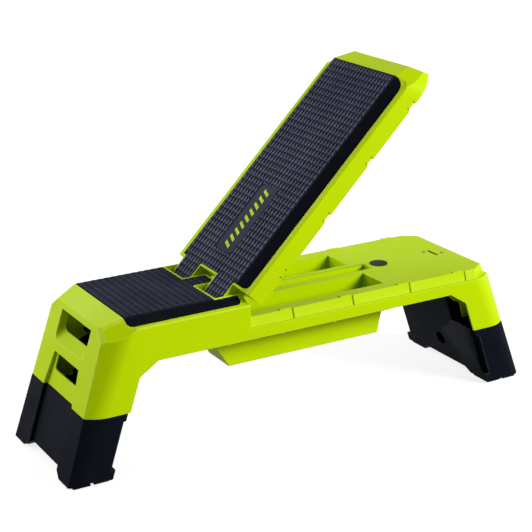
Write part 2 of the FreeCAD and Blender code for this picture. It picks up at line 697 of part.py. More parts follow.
def make_storage_tub():
    skin = SLEEVE_SKIN
    plate = box(FLANGE_START_X, FLANGE_END_X, -FLANGE_HALF, FLANGE_HALF, TUB_TOP_Z - WALL, TUB_TOP_Z)
    bins = prism_xz(
        [(TUB_START_X - skin, TUB_TOP_Z), (TUB_END_X + skin, TUB_TOP_Z),
         (TUB_LOW_END_X + skin, TUB_FLOOR_Z - WALL), (TUB_LOW_START_X - skin, TUB_FLOOR_Z - WALL)],
        POCKET_NEAR_Y - skin, POCKET_FAR_Y + skin,
    )
    tray = joined([plate] + both_sides(bins))
    inside = prism_xz(
        [(TUB_START_X, TUB_TOP_Z), (TUB_END_X, TUB_TOP_Z),
         (TUB_LOW_END_X, TUB_FLOOR_Z), (TUB_LOW_START_X, TUB_FLOOR_Z)],
        POCKET_NEAR_Y, POCKET_FAR_Y,
    )
    holes = []
    for x in BOSS_XS:
        holes += both_sides(rod_z(BOSS_PILOT_R, TUB_TOP_Z - OVERRUN, TUB_TOP_Z + OVERRUN, x, BOSS_Y))
    return tray.cut(both_sides(inside) + holes)


def make_tub_screws():
    screws = []
    low = TUB_TOP_Z - WALL
    for x in BOSS_XS:
        head = rod_z(SCREW_HEAD_R, low - SCREW_HEAD_H, low, x, BOSS_Y)
        shank = rod_z(BOSS_PILOT_R, low, TUB_TOP_Z + BOSS_PILOT_DEPTH, x, BOSS_Y)
        screws += both_sides(joined([head, shank]))
    return Part.makeCompound(screws)


def make_hinge_rod():
    return rod_y(ROD_R, -ROD_HALF, ROD_HALF, HINGE_X, HINGE_Z)


def make_hinge_rod_clips():
    start = NOTCH_FAR_Y + WALL
    ring = rod_y(CLIP_R, start, start + CLIP_THICK, HINGE_X, HINGE_Z)
    ring = ring.cut(rod_y(ROD_R, start - OVERRUN, start + OVERRUN, HINGE_X, HINGE_Z))
    return Part.makeCompound(both_sides(ring))


def make_bumper_disc():
    return rod_z(BUMPER_R, DECK_Z - BUMPER_SINK, DECK_Z + BUMPER_PROUD, BUMPER_X, 0)


def make_catch_keeper():
    top = DECK_Z - WALL
    plate = box(
        CATCH_X - KEEPER_HALF_X, CATCH_X + KEEPER_HALF_X, -KEEPER_HALF_Y, KEEPER_HALF_Y,
        top - KEEPER_THICK, top,
    )
    holes = [rod_z(KEEPER_SCREW_R, top - OVERRUN, top + OVERRUN, x, y) for x, y in KEEPER_SCREWS]
    slot = box(
        CATCH_X - CATCH_SLOT_HALF_X, CATCH_X + CATCH_SLOT_HALF_X,
        -CATCH_SLOT_HALF_Y, CATCH_SLOT_HALF_Y, top - OVERRUN, top + OVERRUN,
    )
    return plate.cut(holes + [slot])


def make_keeper_screws():
    seat = DECK_Z - SCREW_HEAD_H
    screws = []
    for x, y in KEEPER_SCREWS:
        head = rod_z(SCREW_HEAD_R, seat, DECK_Z, x, y)
        shank = rod_z(KEEPER_SCREW_R, KEEPER_SCREW_LOW_Z, seat, x, y)
        screws.append(joined([head, shank]))
    return Part.makeCompound(screws)


def make_prop_pin():
    return rod_y(PROP_PIN_R, -PROP_PIN_HALF, PROP_PIN_HALF, PROP_X, PROP_Z)


def raised(shape):
    """Turn a piece of the backrest from flat to its resting angle."""
    shape = shape.copy()
    shape.rotate(V(HINGE_X, 0, HINGE_Z), -Y_AXIS, BACKREST_ANGLE)
    return shape


def back_mat_form(gap):
    strip = rounded_mat(
        BACK_MAT_START_X + gap, HEAD_BAND_TOP_X - gap, BACK_MAT_HINGE_R, BACK_MAT_HEAD_R
    )
    finger = box(
        BACK_MAT_TIP_X + gap, BACK_MAT_START_X + 2 * MAT_EDGE, FINGER_NEAR_Y + WALL + gap,
        FINGER_FAR_Y - WALL - gap, STEP_Z - MAT_THICK, STEP_Z,
    )
    return joined([strip] + both_sides(finger))


def badge_outline(grow):
    radius = BADGE_R + grow
    y = BADGE_HALF - BADGE_R
    half = arc(radius, BADGE_END_X - BADGE_R, y, 0) + arc(radius, BADGE_START_X + BADGE_R, y, 90)
    return half + [(x, -y) for x, y in reversed(half)]


def make_backrest_mat():
    recess = prism_xy(badge_outline(BADGE_GROOVE), STEP_Z - BADGE_SINK, STEP_Z + OVERRUN)
    return raised(back_mat_form(FIT_GAP).cut(recess))


def make_badge_panel():
    return raised(prism_xy(badge_outline(0), STEP_Z - BADGE_SINK, STEP_Z + BADGE_PROUD))


def head_spot():
    """Centre of the prop's head bar, with the backrest drawn flat."""
    return HINGE_X + HEAD_REACH, HINGE_Z - HEAD_DROP


def saddle_screw_spots():
    x = head_spot()[0]
    spots = []
    for step in (-SADDLE_SCREW_X_RUN, SADDLE_SCREW_X_RUN):
        spots += [(x + step, -SADDLE_SCREW_Y), (x + step, SADDLE_SCREW_Y)]
    return spots


def hook_screw_spots():
    return [(CATCH_X - run, 0) for run in HOOK_SCREW_RUNS]


def make_backrest_frame():
    outline = [(BODY_START_X, SKIRT_Z), (end_x(SKIRT_Z), SKIRT_Z)]
    outline += [(end_x(HEAD_BAND_LOW_Z), HEAD_BAND_LOW_Z), (HEAD_BAND_TOP_X, STEP_Z), (BODY_START_X, STEP_Z)]
    outer = prism_xz(outline, -HALF_WIDTH, HALF_WIDTH).cut(corner_wastes(1, 0))
    outer = blended_corners(outer, 1)
    outer = outer.cut(head_facet_wastes(0) + crown_wastes(BODY_START_X, HEAD_BAND_TOP_X))
    hollow = crowned_hollow(BODY_START_X + WALL, FAR, SKIRT_Z - OVERRUN)
    wastes = [end_waste(1, WALL)] + corner_wastes(1, WALL) + head_facet_wastes(WALL)
    wastes.append(
        band_waste(1, end_x(HEAD_BAND_LOW_Z), HEAD_BAND_LOW_Z, HEAD_BAND_TOP_X, WALL + MAT_THICK)
    )
    shell = outer.cut(hollow.cut(wastes))
    roof = STEP_Z - MAT_THICK - WALL
    finger = prism_xz(
        [(BODY_START_X + WALL, STEP_Z), (FINGER_TIP_X, STEP_Z), (FINGER_TIP_X, FINGER_TIP_LOW_Z),
         (FINGER_HEEL_X, FINGER_LOW_Z), (BODY_START_X + WALL, FINGER_LOW_Z)],
        FINGER_NEAR_Y, FINGER_FAR_Y,
    )
    finger_hollow = prism_xz(
        [(BODY_START_X, roof), (FINGER_TIP_X + WALL, roof), (FINGER_TIP_X + WALL, FINGER_TIP_LOW_Z),
         (FINGER_HEEL_X + WALL, FINGER_LOW_Z - OVERRUN), (BODY_START_X, FINGER_LOW_Z - OVERRUN)],
        FINGER_NEAR_Y + WALL, FINGER_FAR_Y - WALL,
    )
    fingers = both_sides(finger.cut(finger_hollow))
    ribs = []
    for x in BACK_RIB_XS:
        ribs.append(box(x, x + RIB_THICK, -HALF_WIDTH, HALF_WIDTH, BACK_RIB_LOW_Z, STEP_Z))
    ribs += both_sides(
        box(BODY_START_X, BACK_RIB_XS[-1], BACK_RIB_Y, BACK_RIB_Y + RIB_THICK, BACK_RIB_LOW_Z, STEP_Z)
    )
    head_x = head_spot()[0]
    bay_half = PROP_HALF_WIDTH + PROP_BAY_GAP
    prop_bay = box(head_x - PROP_BAY_RUN, head_x, -bay_half, bay_half, SKIRT_Z - OVERRUN, roof)
    shell = joined([shell] + fingers + [rib.common(outer).cut(prop_bay) for rib in ribs])
    side = HALF_WIDTH - WALL
    hinge_side = box(
        BODY_START_X - OVERRUN, BODY_START_X + 2 * WALL, -side, side, SKIRT_Z - OVERRUN, BACK_RIB_LOW_Z
    )
    voids = [back_mat_form(0), rod_y(BUSH_R, -FINGER_FAR_Y, FINGER_FAR_Y, HINGE_X, HINGE_Z), hinge_side]
    for x0, x1 in SKIRT_NOTCHES:
        notch = box(x0, x1, HALF_WIDTH - 2 * WALL, FAR, SKIRT_Z - OVERRUN, SKIRT_Z + SKIRT_NOTCH_H)
        voids += both_sides(notch)
    voids += skirt_pegs(HALF_WIDTH - 2 * WALL, HALF_WIDTH + OVERRUN)
    for x, y in saddle_screw_spots() + hook_screw_spots():
        voids.append(rod_z(BACK_SCREW_R, roof - OVERRUN, roof + BACK_SCREW_BITE, x, y))
    return raised(shell.cut(voids))


def skirt_pegs(y0, y1):
    """Short pegs at both ends of each notch in the backrest's skirt."""
    z = SKIRT_Z + SKIRT_NOTCH_H + BUFFER_RISE
    pegs = []
    for notch in SKIRT_NOTCHES:
        for x in notch:
            pegs += both_sides(rod_y(BUFFER_R, y0, y1, x, z))
    return pegs


def make_skirt_buffers():
    pegs = skirt_pegs(HALF_WIDTH - WALL, HALF_WIDTH - BUFFER_SINK)
    return Part.makeCompound([raised(peg) for peg in pegs])


def plate_screws(spots):
    """Screws up through a flange under the backrest into its top."""
    roof = STEP_Z - MAT_THICK - WALL
    low = roof - PLATE_THICK
    screws = []
    for x, y in spots:
        head = rod_z(SCREW_HEAD_R, low - SCREW_HEAD_H, low, x, y)
        shank = rod_z(BACK_SCREW_R, low, roof + BACK_SCREW_BITE, x, y)
        screws.append(raised(joined([head, shank])))
    return Part.makeCompound(screws)


def make_hinge_bushes():
    tube = rod_y(BUSH_R, FINGER_NEAR_Y, FINGER_FAR_Y, HINGE_X, HINGE_Z)
    tube = tube.cut(rod_y(ROD_R + SLIP, 0, FINGER_FAR_Y + OVERRUN, HINGE_X, HINGE_Z))
    return Part.makeCompound([raised(bush) for bush in both_sides(tube)])


def make_catch_hook():
    roof = STEP_Z - MAT_THICK - WALL
    half = HOOK_THICK / 2
    plate = box(
        CATCH_X - HOOK_PLATE_RUN, CATCH_X, -HOOK_HALF_Y, HOOK_HALF_Y, roof - PLATE_THICK, roof,
    )
    top = roof - HOOK_TUCK
    nose_z = HOOK_LOW_Z + HOOK_NOSE_H
    blade = prism_xz(
        [(CATCH_X - half, top), (CATCH_X + half, top), (CATCH_X + half, HOOK_LOW_Z),
         (CATCH_X - half, HOOK_LOW_Z), (CATCH_X - half - HOOK_NOSE, nose_z), (CATCH_X - half, nose_z)],
        -HOOK_HALF_Y, HOOK_HALF_Y,
    )
    hook = joined([plate, blade])
    holes = [rod_z(BACK_SCREW_R, roof - OVERRUN, roof + OVERRUN, x, y) for x, y in hook_screw_spots()]
    return raised(hook.cut(holes))


def make_hook_screws():
    return plate_screws(hook_screw_spots())


def make_prop_saddle():
    x, z = head_spot()
    roof = STEP_Z - MAT_THICK - WALL
    seat_z = z + HEAD_BAR_R + SADDLE_GAP
    lean = (HEAD_BAR_R + SADDLE_GAP) * math.sqrt(2) + SADDLE_RAMP_RELIEF
    ramp_x = x + lean - (seat_z - z)
    ramp_end_x = x + lean + (z - SADDLE_LOW_Z)
    block = prism_xz(
        [(x - SADDLE_BACK_RUN, roof), (x - SADDLE_BACK_RUN, seat_z), (ramp_x, seat_z),
         (ramp_end_x, SADDLE_LOW_Z), (x + SADDLE_FRONT_RUN, SADDLE_LOW_Z), (x + SADDLE_FRONT_RUN, roof)],
        -SADDLE_HALF_Y, SADDLE_HALF_Y,
    )
    low = roof - PLATE_THICK
    slot = box(x - FAR, x + FAR, -SADDLE_SLOT_HALF, SADDLE_SLOT_HALF, 0, low)
    flange = box(
        x - SADDLE_FLANGE_RUN, x + SADDLE_FLANGE_RUN, -SADDLE_HALF_Y, SADDLE_HALF_Y, low, roof
    )
    saddle = joined([block.cut(slot), flange])
    holes = [rod_z(BACK_SCREW_R, low - OVERRUN, roof + OVERRUN, sx, sy) for sx, sy in saddle_screw_spots()]
    return raised(saddle.cut(holes))


def make_saddle_screws():
    return plate_screws(saddle_screw_spots())


def head_at_rest():
    """Centre of the head bar with the backrest up."""
    turn = math.radians(BACKREST_ANGLE)
    x, z = head_spot()
    run = x - HINGE_X
    rise = z - HINGE_Z
    return (
        HINGE_X + run * math.cos(turn) - rise * math.sin(turn),
        HINGE_Z + run * math.sin(turn) + rise * math.cos(turn),
    )


def prop_length():
    x, z = head_at_rest()
    return math.hypot(x - PROP_X, z - PROP_Z)


def propped(shape):
    """Stand a piece of the prop, drawn along +X from its pin, at its resting angle."""
    x, z = head_at_rest()
    shape = shape.copy()
    shape.rotate(ORIGIN, -Y_AXIS, math.degrees(math.atan2(z - PROP_Z, x - PROP_X)))
    shape.translate(V(PROP_X, 0, PROP_Z))
    return shape


def make_prop_strut():
    length = prop_length()
    wide = PROP_HALF_WIDTH
    tip = PROP_TIP_HALF_WIDTH
    thick = PROP_HALF_THICK
    pieces = [rod_y(PROP_EYE_R, -wide, wide, 0, 0), rod_y(PROP_EYE_R, -tip, tip, length, 0)]
    pieces.append(box(0, length - PROP_TIP_RUN, -wide, wide, -thick, thick))
    pieces.append(box(0, length, -tip, tip, -thick, thick))
    strut = joined(pieces)
    panel = box(
        PROP_PANEL_MARGIN, length - PROP_TIP_RUN - PROP_PANEL_MARGIN, wide - PROP_PANEL_SINK, wide + OVERRUN,
        -PROP_PANEL_HALF, PROP_PANEL_HALF,
    )
    bores = [rod_y(PROP_PIN_R + SLIP, -FAR, FAR, 0, 0), rod_y(HEAD_BAR_R, -FAR, FAR, length, 0)]
    return propped(strut.cut(both_sides(panel) + bores))


def make_prop_head_bar():
    return propped(rod_y(HEAD_BAR_R, -HEAD_BAR_HALF, HEAD_BAR_HALF, prop_length(), 0))


def leg_slab(z0, z1, out_inset, in_inset, y0, y1):
    """Part of a seat end leg between its two sloping faces, each drawn in by an inset."""
    outline = [(out_inset - end_x(z0), z0), (-inner_x(z0) - in_inset, z0)]
    outline += [(-inner_x(z1) - in_inset, z1), (out_inset - end_x(z1), z1)]
    return prism_xz(outline, y0, y1)


def make_leg_shell():
    leg = leg_slab(LEG_BOTTOM_Z, LEG_TOP_Z, 0, 0, -HALF_WIDTH, HALF_WIDTH)
    leg = blended_corners(leg.cut(corner_wastes(-1, 0)), -1)
    over = HALF_WIDTH + OVERRUN
    top = LEG_TOP_Z + OVERRUN
    voids = []
    for z0, z1, depth in ((FOOT_STEP_Z, LIP_LOW_Z, SIDE_SET_BACK), (LIP_LOW_Z, top, LIP_SET_BACK)):
        back = LEG_DEPTH - depth
        voids += both_sides(leg_slab(z0, z1, back, -OVERRUN, INNER_PLATE_HALF, over))
    arch = [(-ARCH_FOOT_HALF, LEG_BOTTOM_Z - OVERRUN), (-ARCH_FOOT_HALF, LEG_BOTTOM_Z), (-ARCH_HALF, ARCH_Z)]
    voids.append(prism_yz(arch + [(-y, z) for y, z in reversed(arch)], -FAR, 0))
    voids.append(leg_slab(ARCH_Z, top, -OVERRUN, LEG_DEPTH - RECESS_DEPTH, -RECESS_HALF, RECESS_HALF))
    half = LEG_CAVITY_HALF
    voids.append(leg_slab(LEG_CAVITY_FLOOR_Z, top, LEG_OUTER_SKIN, LEG_INNER_SKIN, -half, half))
    voids += both_sides(
        leg_slab(LEG_FOOT_FLOOR_Z, top, LEG_OUTER_SKIN, LEG_INNER_SKIN, LEG_FOOT_NEAR_Y, half)
    )
    voids += both_sides(
        leg_slab(LEG_CAVITY_FLOOR_Z, top, LEG_SIDE_CAVITY_OUT, LEG_SIDE_CAVITY_IN, 0, LEG_SIDE_CAVITY_HALF)
    )
    groove_x = PAD_SET_INS[1][1] - SEAM_HALF_LENGTH
    groove_end_x = PAD_SET_INS[0][0] - SEAM_HALF_LENGTH
    groove_z = LEG_BOTTOM_Z + FOOT_GROOVE_H
    voids.append(box(groove_x, groove_end_x, -over, over, LEG_BOTTOM_Z - OVERRUN, groove_z))
    hole_x = -inner_x(LEG_HOLE_Z)
    voids.append(rod_x(LEG_HOLE_R, hole_x - 2 * OVERRUN, hole_x + OVERRUN, 0, LEG_HOLE_Z))
    leg = leg.cut(voids)
    skin_back = LEG_DEPTH - TONGUE_THICK
    tongue = leg_slab(TONGUE_ROOT_Z, TONGUE_TOP_Z, skin_back, 0, -TONGUE_HALF, TONGUE_HALF)
    lap_root = -inner_x(TONGUE_ROOT_Z) - TONGUE_LAP
    neck_z = PIVOT_Z - FLANGE_NECK_DROP
    flange = prism_xz(
        [(lap_root, TONGUE_ROOT_Z), (-inner_x(TONGUE_TOP_Z) - TONGUE_LAP, TONGUE_TOP_Z),
         (PIVOT_X - FLANGE_REACH, PIVOT_Z + FLANGE_REACH), (PIVOT_X - FLANGE_REACH, PIVOT_Z - FLANGE_REACH),
         (-inner_x(neck_z) - TONGUE_LAP - FLANGE_RUN, neck_z), (lap_root - FLANGE_RUN, TONGUE_ROOT_Z)],
        TONGUE_FLANGE_Y, TONGUE_HALF,
    )
    lip_x = -inner_x(TONGUE_TOP_Z)
    lip_z = TONGUE_TOP_Z + HOOK_LIP_RISE
    lip = prism_xz(
        [(lip_x, TONGUE_TOP_Z), (lip_x - HOOK_LIP_RUN, lip_z), (lip_x - HOOK_LIP_RUN, lip_z - HOOK_LIP_TIP),
         (skin_back - end_x(HOOK_LIP_ROOT_Z), HOOK_LIP_ROOT_Z)],
        -TONGUE_HALF, TONGUE_HALF,
    )
    leg = joined([leg, tongue, lip] + both_sides(flange))
    return leg.cut(rod_y(PIN_R + SLIP, -TONGUE_HALF, TONGUE_HALF, PIVOT_X, PIVOT_Z))


def make_leg_pins():
    pin = rod_y(PIN_R, PIN_NEAR_Y, LUG_FAR_Y, PIVOT_X, PIVOT_Z)
    head = rod_y(PIN_HEAD_R, LUG_FAR_Y, LUG_FAR_Y + PIN_HEAD_H, PIVOT_X, PIVOT_Z)
    return Part.makeCompound(both_sides(joined([pin, head])))


def make_foot_pads():
    pads = []
    for near, far in PAD_SET_INS:
        x0 = near - SEAM_HALF_LENGTH
        x1 = far - SEAM_HALF_LENGTH
        pads += both_sides(box(x0, x1, PAD_NEAR_Y, PAD_FAR_Y, 0, LEG_BOTTOM_Z))
    return Part.makeCompound(pads)


NODES = {
    "deck_shell": make_deck_shell(),
    "seat_mat": make_seat_mat(),
    "storage_tub": make_storage_tub(),
    "tub_screws": make_tub_screws(),
    "hinge_rod": make_hinge_rod(),
    "hinge_rod_clips": make_hinge_rod_clips(),
    "bumper_disc": make_bumper_disc(),
    "catch_keeper": make_catch_keeper(),
    "keeper_screws": make_keeper_screws(),
    "prop_pin": make_prop_pin(),
    "backrest_frame": make_backrest_frame(),
    "backrest_mat": make_backrest_mat(),
    "badge_panel": make_badge_panel(),
    "skirt_buffers": make_skirt_buffers(),
    "hinge_bushes": make_hinge_bushes(),
    "catch_hook": make_catch_hook(),
    "hook_screws": make_hook_screws(),
    "prop_saddle": make_prop_saddle(),
    "saddle_screws": make_saddle_screws(),
    "prop_strut": make_prop_strut(),
    "prop_head_bar": make_prop_head_bar(),
}
LEG_NODES = {
    "leg_shell": make_leg_shell(),
    "leg_pins": make_leg_pins(),
    "foot_pads": make_foot_pads(),
}
for name, shape in LEG_NODES.items():
    NODES["left_" + name] = shape
    NODES["right_" + name] = head_twin(shape)

os.makedirs("parts", exist_ok=True)
for name, shape in NODES.items():
    shape.exportStep("parts/" + name + ".step")
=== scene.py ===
import logging
import math
from collections.abc import Callable, Iterator
from dataclasses import dataclass, replace
from enum import Enum

import bmesh
import bpy
from mathutils import Matrix, Vector


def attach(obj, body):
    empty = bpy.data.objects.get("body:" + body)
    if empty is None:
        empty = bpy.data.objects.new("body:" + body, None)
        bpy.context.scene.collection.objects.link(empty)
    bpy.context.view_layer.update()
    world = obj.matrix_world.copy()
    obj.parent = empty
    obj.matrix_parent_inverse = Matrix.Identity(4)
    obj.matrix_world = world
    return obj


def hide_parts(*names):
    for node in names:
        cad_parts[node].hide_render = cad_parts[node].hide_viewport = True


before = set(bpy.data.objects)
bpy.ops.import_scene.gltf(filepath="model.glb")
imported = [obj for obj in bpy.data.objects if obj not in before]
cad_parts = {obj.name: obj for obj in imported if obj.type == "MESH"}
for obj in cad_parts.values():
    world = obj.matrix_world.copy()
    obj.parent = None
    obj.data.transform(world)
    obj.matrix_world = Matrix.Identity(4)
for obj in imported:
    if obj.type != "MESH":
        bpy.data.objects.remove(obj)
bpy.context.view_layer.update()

MM = 0.001
STEP_Z = 349.0 * MM
MAT_TOP_HALF = 127.0 * MM
WHITE = (1.0, 1.0, 1.0, 1.0)
EDGE_WEIGHT = "bevel_weight_edge"
FACE_NUMBER = "whole_face"
FACE_SLOT = 0
EDGE_SLOT = 1
# Slots of the teeth, painted lighter as highlight, and of the bed, painted darker as shade.
PAINTED_HIGHLIGHT_TOOTH_SLOT = 2
PAINTED_SHADE_BED_SLOT = 3
MIX_FIRST = 6
MIX_SECOND = 7
MIX_RESULT = 2
ROUND_PROFILE = 0.5
LOG = logging.getLogger("step_platform")

Colour = tuple[float, float, float]
Place = tuple[float, float, float]
Cell = tuple[float, float, float, float]


class Body(Enum):
    """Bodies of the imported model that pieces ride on."""

    DECK = "deck"
    BACKREST = "backrest"
    PROP = "prop"
    LEFT_LEG = "left_leg"
    RIGHT_LEG = "right_leg"


class Slot(Enum):
    """Material slots of the record."""

    LIME = "lime_plastic"
    TUB = "tub_plastic"
    BLACK = "black_plastic"
    MAT = "mat_rubber"
    PAD = "pad_rubber"


class NodeBench:
    """Adds and joins the nodes of one shader tree."""

    def __init__(self, tree: bpy.types.NodeTree) -> None:
        """Take the tree that the nodes go into."""
        self.tree = tree

    def add(self, kind: str, **inputs: object) -> bpy.types.Node:
        """Add a node and set some of its inputs.

        Args:
            kind: Type name of the node.
            inputs: Values by input name, with underscores for spaces.

        Returns:
            The new node.
        """
        node = self.tree.nodes.new(kind)
        for name, value in inputs.items():
            node.inputs[name.replace("_", " ")].default_value = value
        return node

    def join(self, source: bpy.types.NodeSocket, target: bpy.types.NodeSocket) -> None:
        """Link an output to an input."""
        self.tree.links.new(source, target)

    def math(self, operation: str, first: object, second: object) -> bpy.types.NodeSocket:
        """Add a Math node.

        Args:
            operation: Name of the operation.
            first: Socket or number for the first input.
            second: Socket or number for the second input.

        Returns:
            The node's output.
        """
        node = self.tree.nodes.new("ShaderNodeMath")
        node.operation = operation
        for place, value in enumerate((first, second)):
            if isinstance(value, bpy.types.NodeSocket):
                self.join(value, node.inputs[place])
            else:
                node.inputs[place].default_value = value
        return node.outputs[0]

    def ramp(self, value: bpy.types.NodeSocket, low: float, high: float,
             out_low: float = 0.0, out_high: float = 1.0) -> bpy.types.NodeSocket:
        """Map a span of values to another, clamped.

        Args:
            value: Socket to read.
            low: Value that gives out_low.
            high: Value that gives out_high.
            out_low: Lower result.
            out_high: Upper result.

        Returns:
            The mapped value.
        """
        node = self.add("ShaderNodeMapRange", From_Min=low, From_Max=high, To_Min=out_low, To_Max=out_high)
        self.join(value, node.inputs["Value"])
        return node.outputs["Result"]

    def blend(self, mask: bpy.types.NodeSocket, first: object, second: object) -> bpy.types.NodeSocket:
        """Mix two colours by a mask.

        Args:
            mask: Share of the second colour.
            first: Socket or colour shown where the mask is 0.
            second: Socket or colour shown where the mask is 1.

        Returns:
            The mixed colour.
        """
        node = self.tree.nodes.new("ShaderNodeMix")
        node.data_type = "RGBA"
        self.join(mask, node.inputs["Factor"])
        for place, value in ((MIX_FIRST, first), (MIX_SECOND, second)):
            if isinstance(value, bpy.types.NodeSocket):
                self.join(value, node.inputs[place])
            else:
                node.inputs[place].default_value = (*value, 1.0)
        return node.outputs[MIX_RESULT]


@dataclass(frozen=True)
class NoiseKind:
    """How fine and how rough a noise texture is."""

    detail: float
    roughness: float

    def add(self, bench: NodeBench, vector: bpy.types.NodeSocket,
            scale: bpy.types.NodeSocket) -> bpy.types.NodeSocket:
        """Add the noise to a tree.

        Args:
            bench: Bench of the tree.
            vector: Coordinates that the noise reads.
            scale: Scale of the noise.

        Returns:
            The noise's value.
        """
        node = bench.add("ShaderNodeTexNoise", Detail=self.detail, Roughness=self.roughness)
        bench.join(vector, node.inputs["Vector"])
        bench.join(scale, node.inputs["Scale"])
        return node.outputs["Fac"]


FINE_NOISE = NoiseKind(detail=3.0, roughness=0.55)
BROAD_NOISE = NoiseKind(detail=2.0, roughness=0.55)
# Noise, span and mask of the edge wear, which also paints a highlight on the rounded edges.
EDGE_WEAR_HIGHLIGHT_NOISE = NoiseKind(detail=4.0, roughness=0.6)
SCUFF_NOISE = NoiseKind(detail=5.0, roughness=0.7)
EDGE_WEAR_HIGHLIGHT_SPAN = (0.3, 0.6)
EDGE_WEAR_HIGHLIGHT_MASK = (0.35, 1.0)
SCUFF_SPAN = (0.62, 0.72)
TONE_SPAN = (0.35, 0.65)
ROUGH_SPAN = (0.3, 0.7)
BUMP_STRENGTH = 0.5
GroupParts = tuple[bpy.types.NodeTree, NodeBench, bpy.types.Node, bpy.types.Node]


class SurfaceGroups:
    """Shader node groups that several finishes share."""

    def __init__(self) -> None:
        """Build each group once."""
        self.grain = self.make_grain()
        self.edge_wear_highlight = self.make_edge_wear_and_highlight()
        self.scuff = self.make_scuff()

    @staticmethod
    def new_group(name: str, inputs: dict[str, float], outputs: tuple[str, ...]) -> GroupParts:
        """Start a group with number sockets and a vector input.

        Args:
            name: Name of the group.
            inputs: Default of each number input.
            outputs: Names of the number outputs.

        Returns:
            The tree, its bench, its input node and its output node.
        """
        tree = bpy.data.node_groups.new(name, "ShaderNodeTree")
        tree.interface.new_socket("Vector", in_out="INPUT", socket_type="NodeSocketVector")
        for label, value in inputs.items():
            socket = tree.interface.new_socket(label, in_out="INPUT", socket_type="NodeSocketFloat")
            socket.default_value = value
        for label in outputs:
            tree.interface.new_socket(label, in_out="OUTPUT", socket_type="NodeSocketFloat")
        bench = NodeBench(tree)
        return tree, bench, bench.add("NodeGroupInput"), bench.add("NodeGroupOutput")

    def make_grain(self) -> bpy.types.NodeTree:
        """Moulded grain: fine height, and a broad tone over the piece.

        Returns:
            The group.
        """
        tree, bench, given, result = self.new_group(
            "moulded_grain", {"Fine": 900.0, "Broad": 6.0}, ("Height", "Tone")
        )
        for label, output, kind in (("Fine", "Height", FINE_NOISE), ("Broad", "Tone", BROAD_NOISE)):
            noise = kind.add(bench, given.outputs["Vector"], given.outputs[label])
            bench.join(noise, result.inputs[output])
        return tree

    def make_edge_wear_and_highlight(self) -> bpy.types.NodeTree:
        """Edge wear and painted highlight: a broken mask that lightens the rounded edges.

        Returns:
            The group.
        """
        tree, bench, given, result = self.new_group("edge_wear_and_highlight", {"Scale": 60.0}, ("Mask",))
        noise = EDGE_WEAR_HIGHLIGHT_NOISE.add(bench, given.outputs["Vector"], given.outputs["Scale"])
        bench.join(bench.ramp(noise, *EDGE_WEAR_HIGHLIGHT_SPAN, *EDGE_WEAR_HIGHLIGHT_MASK), result.inputs["Mask"])
        return tree

    def make_scuff(self) -> bpy.types.NodeTree:
        """Scuffs: thin faint scratches that run one way.

        Returns:
            The group.
        """
        tree, bench, given, result = self.new_group(
            "fine_scuffs", {"Scale": 40.0, "Stretch": 14.0}, ("Mask",)
        )
        stretch = bench.add("ShaderNodeCombineXYZ", X=1.0, Z=1.0)
        bench.join(given.outputs["Stretch"], stretch.inputs["Y"])
        stretched = bench.add("ShaderNodeVectorMath")
        stretched.operation = "MULTIPLY"
        bench.join(given.outputs["Vector"], stretched.inputs[0])
        bench.join(stretch.outputs["Vector"], stretched.inputs[1])
        noise = SCUFF_NOISE.add(bench, stretched.outputs["Vector"], given.outputs["Scale"])
        bench.join(bench.ramp(noise, *SCUFF_SPAN), result.inputs["Mask"])
        return tree


@dataclass(frozen=True)
class Finish:
    """A moulded or rubber finish with grain, tone, scuffs, and edge wear with a painted highlight."""

    name: str
    colour: Colour
    deep: Colour
    # Lighter colour of the scuffs, and of the rounded edges, where it is wear and a painted highlight.
    wear_and_highlight: Colour
    roughness: tuple[float, float]
    specular: float
    fine: float
    broad: float
    bump: float
    tone_share: float
    wear_and_highlight_share: float
    scuff_share: float
    metallic: float = 0.0

    @property
    def edge_name(self) -> str:
        """Name of the material of the rounded edges."""
        return self.name + "_edge"

    def build(self, groups: SurfaceGroups, edge: bool) -> bpy.types.Material:
        """Make the material of the faces or of the rounded edges.

        Args:
            groups: Shared node groups.
            edge: Whether it is the finish of the rounded edges, with wear and a painted highlight.

        Returns:
            The material.
        """
        material = bpy.data.materials.new(self.edge_name if edge else self.name)
        material.use_nodes = True
        bench = NodeBench(material.node_tree)
        shader = material.node_tree.nodes["Principled BSDF"]
        place = bench.add("ShaderNodeTexCoord").outputs["Object"]
        grain = self.placed(bench, groups.grain, place, Fine=self.fine, Broad=self.broad)
        scuff = self.placed(bench, groups.scuff, place)
        tone = bench.math("MULTIPLY", bench.ramp(grain.outputs["Tone"], *TONE_SPAN), self.tone_share)
        colour = bench.blend(tone, self.colour, self.deep)
        marks = bench.math("MULTIPLY", scuff.outputs["Mask"], self.scuff_share)
        colour = bench.blend(marks, colour, self.wear_and_highlight)
        # Rounded edges: wear and a painted highlight, in the lighter worn colour.
        if edge:
            edge_wear_highlight = self.placed(bench, groups.edge_wear_highlight, place)
            edges = bench.math("MULTIPLY", edge_wear_highlight.outputs["Mask"], self.wear_and_highlight_share)
            colour = bench.blend(edges, colour, self.wear_and_highlight)
        bench.join(colour, shader.inputs["Base Color"])
        rough = bench.ramp(grain.outputs["Tone"], *ROUGH_SPAN, *self.roughness)
        bench.join(rough, shader.inputs["Roughness"])
        bump = bench.add("ShaderNodeBump", Strength=BUMP_STRENGTH, Distance=self.bump)
        bench.join(grain.outputs["Height"], bump.inputs["Height"])
        bench.join(bump.outputs["Normal"], shader.inputs["Normal"])
        shader.inputs["Specular IOR Level"].default_value = self.specular
        shader.inputs["Metallic"].default_value = self.metallic
        return material

    @staticmethod
    def placed(bench: NodeBench, group: bpy.types.NodeTree, place: bpy.types.NodeSocket,
               **values: float) -> bpy.types.Node:
        """Put a shared group into a material.

        Args:
            bench: Bench of the material's tree.
            group: Group to place.
            place: Coordinates that the group reads.
            values: Values by input name.

        Returns:
            The group node.
        """
        node = bench.tree.nodes.new("ShaderNodeGroup")
        node.node_tree = group
        for label, value in values.items():
            node.inputs[label].default_value = value
        bench.join(place, node.inputs["Vector"])
        return node


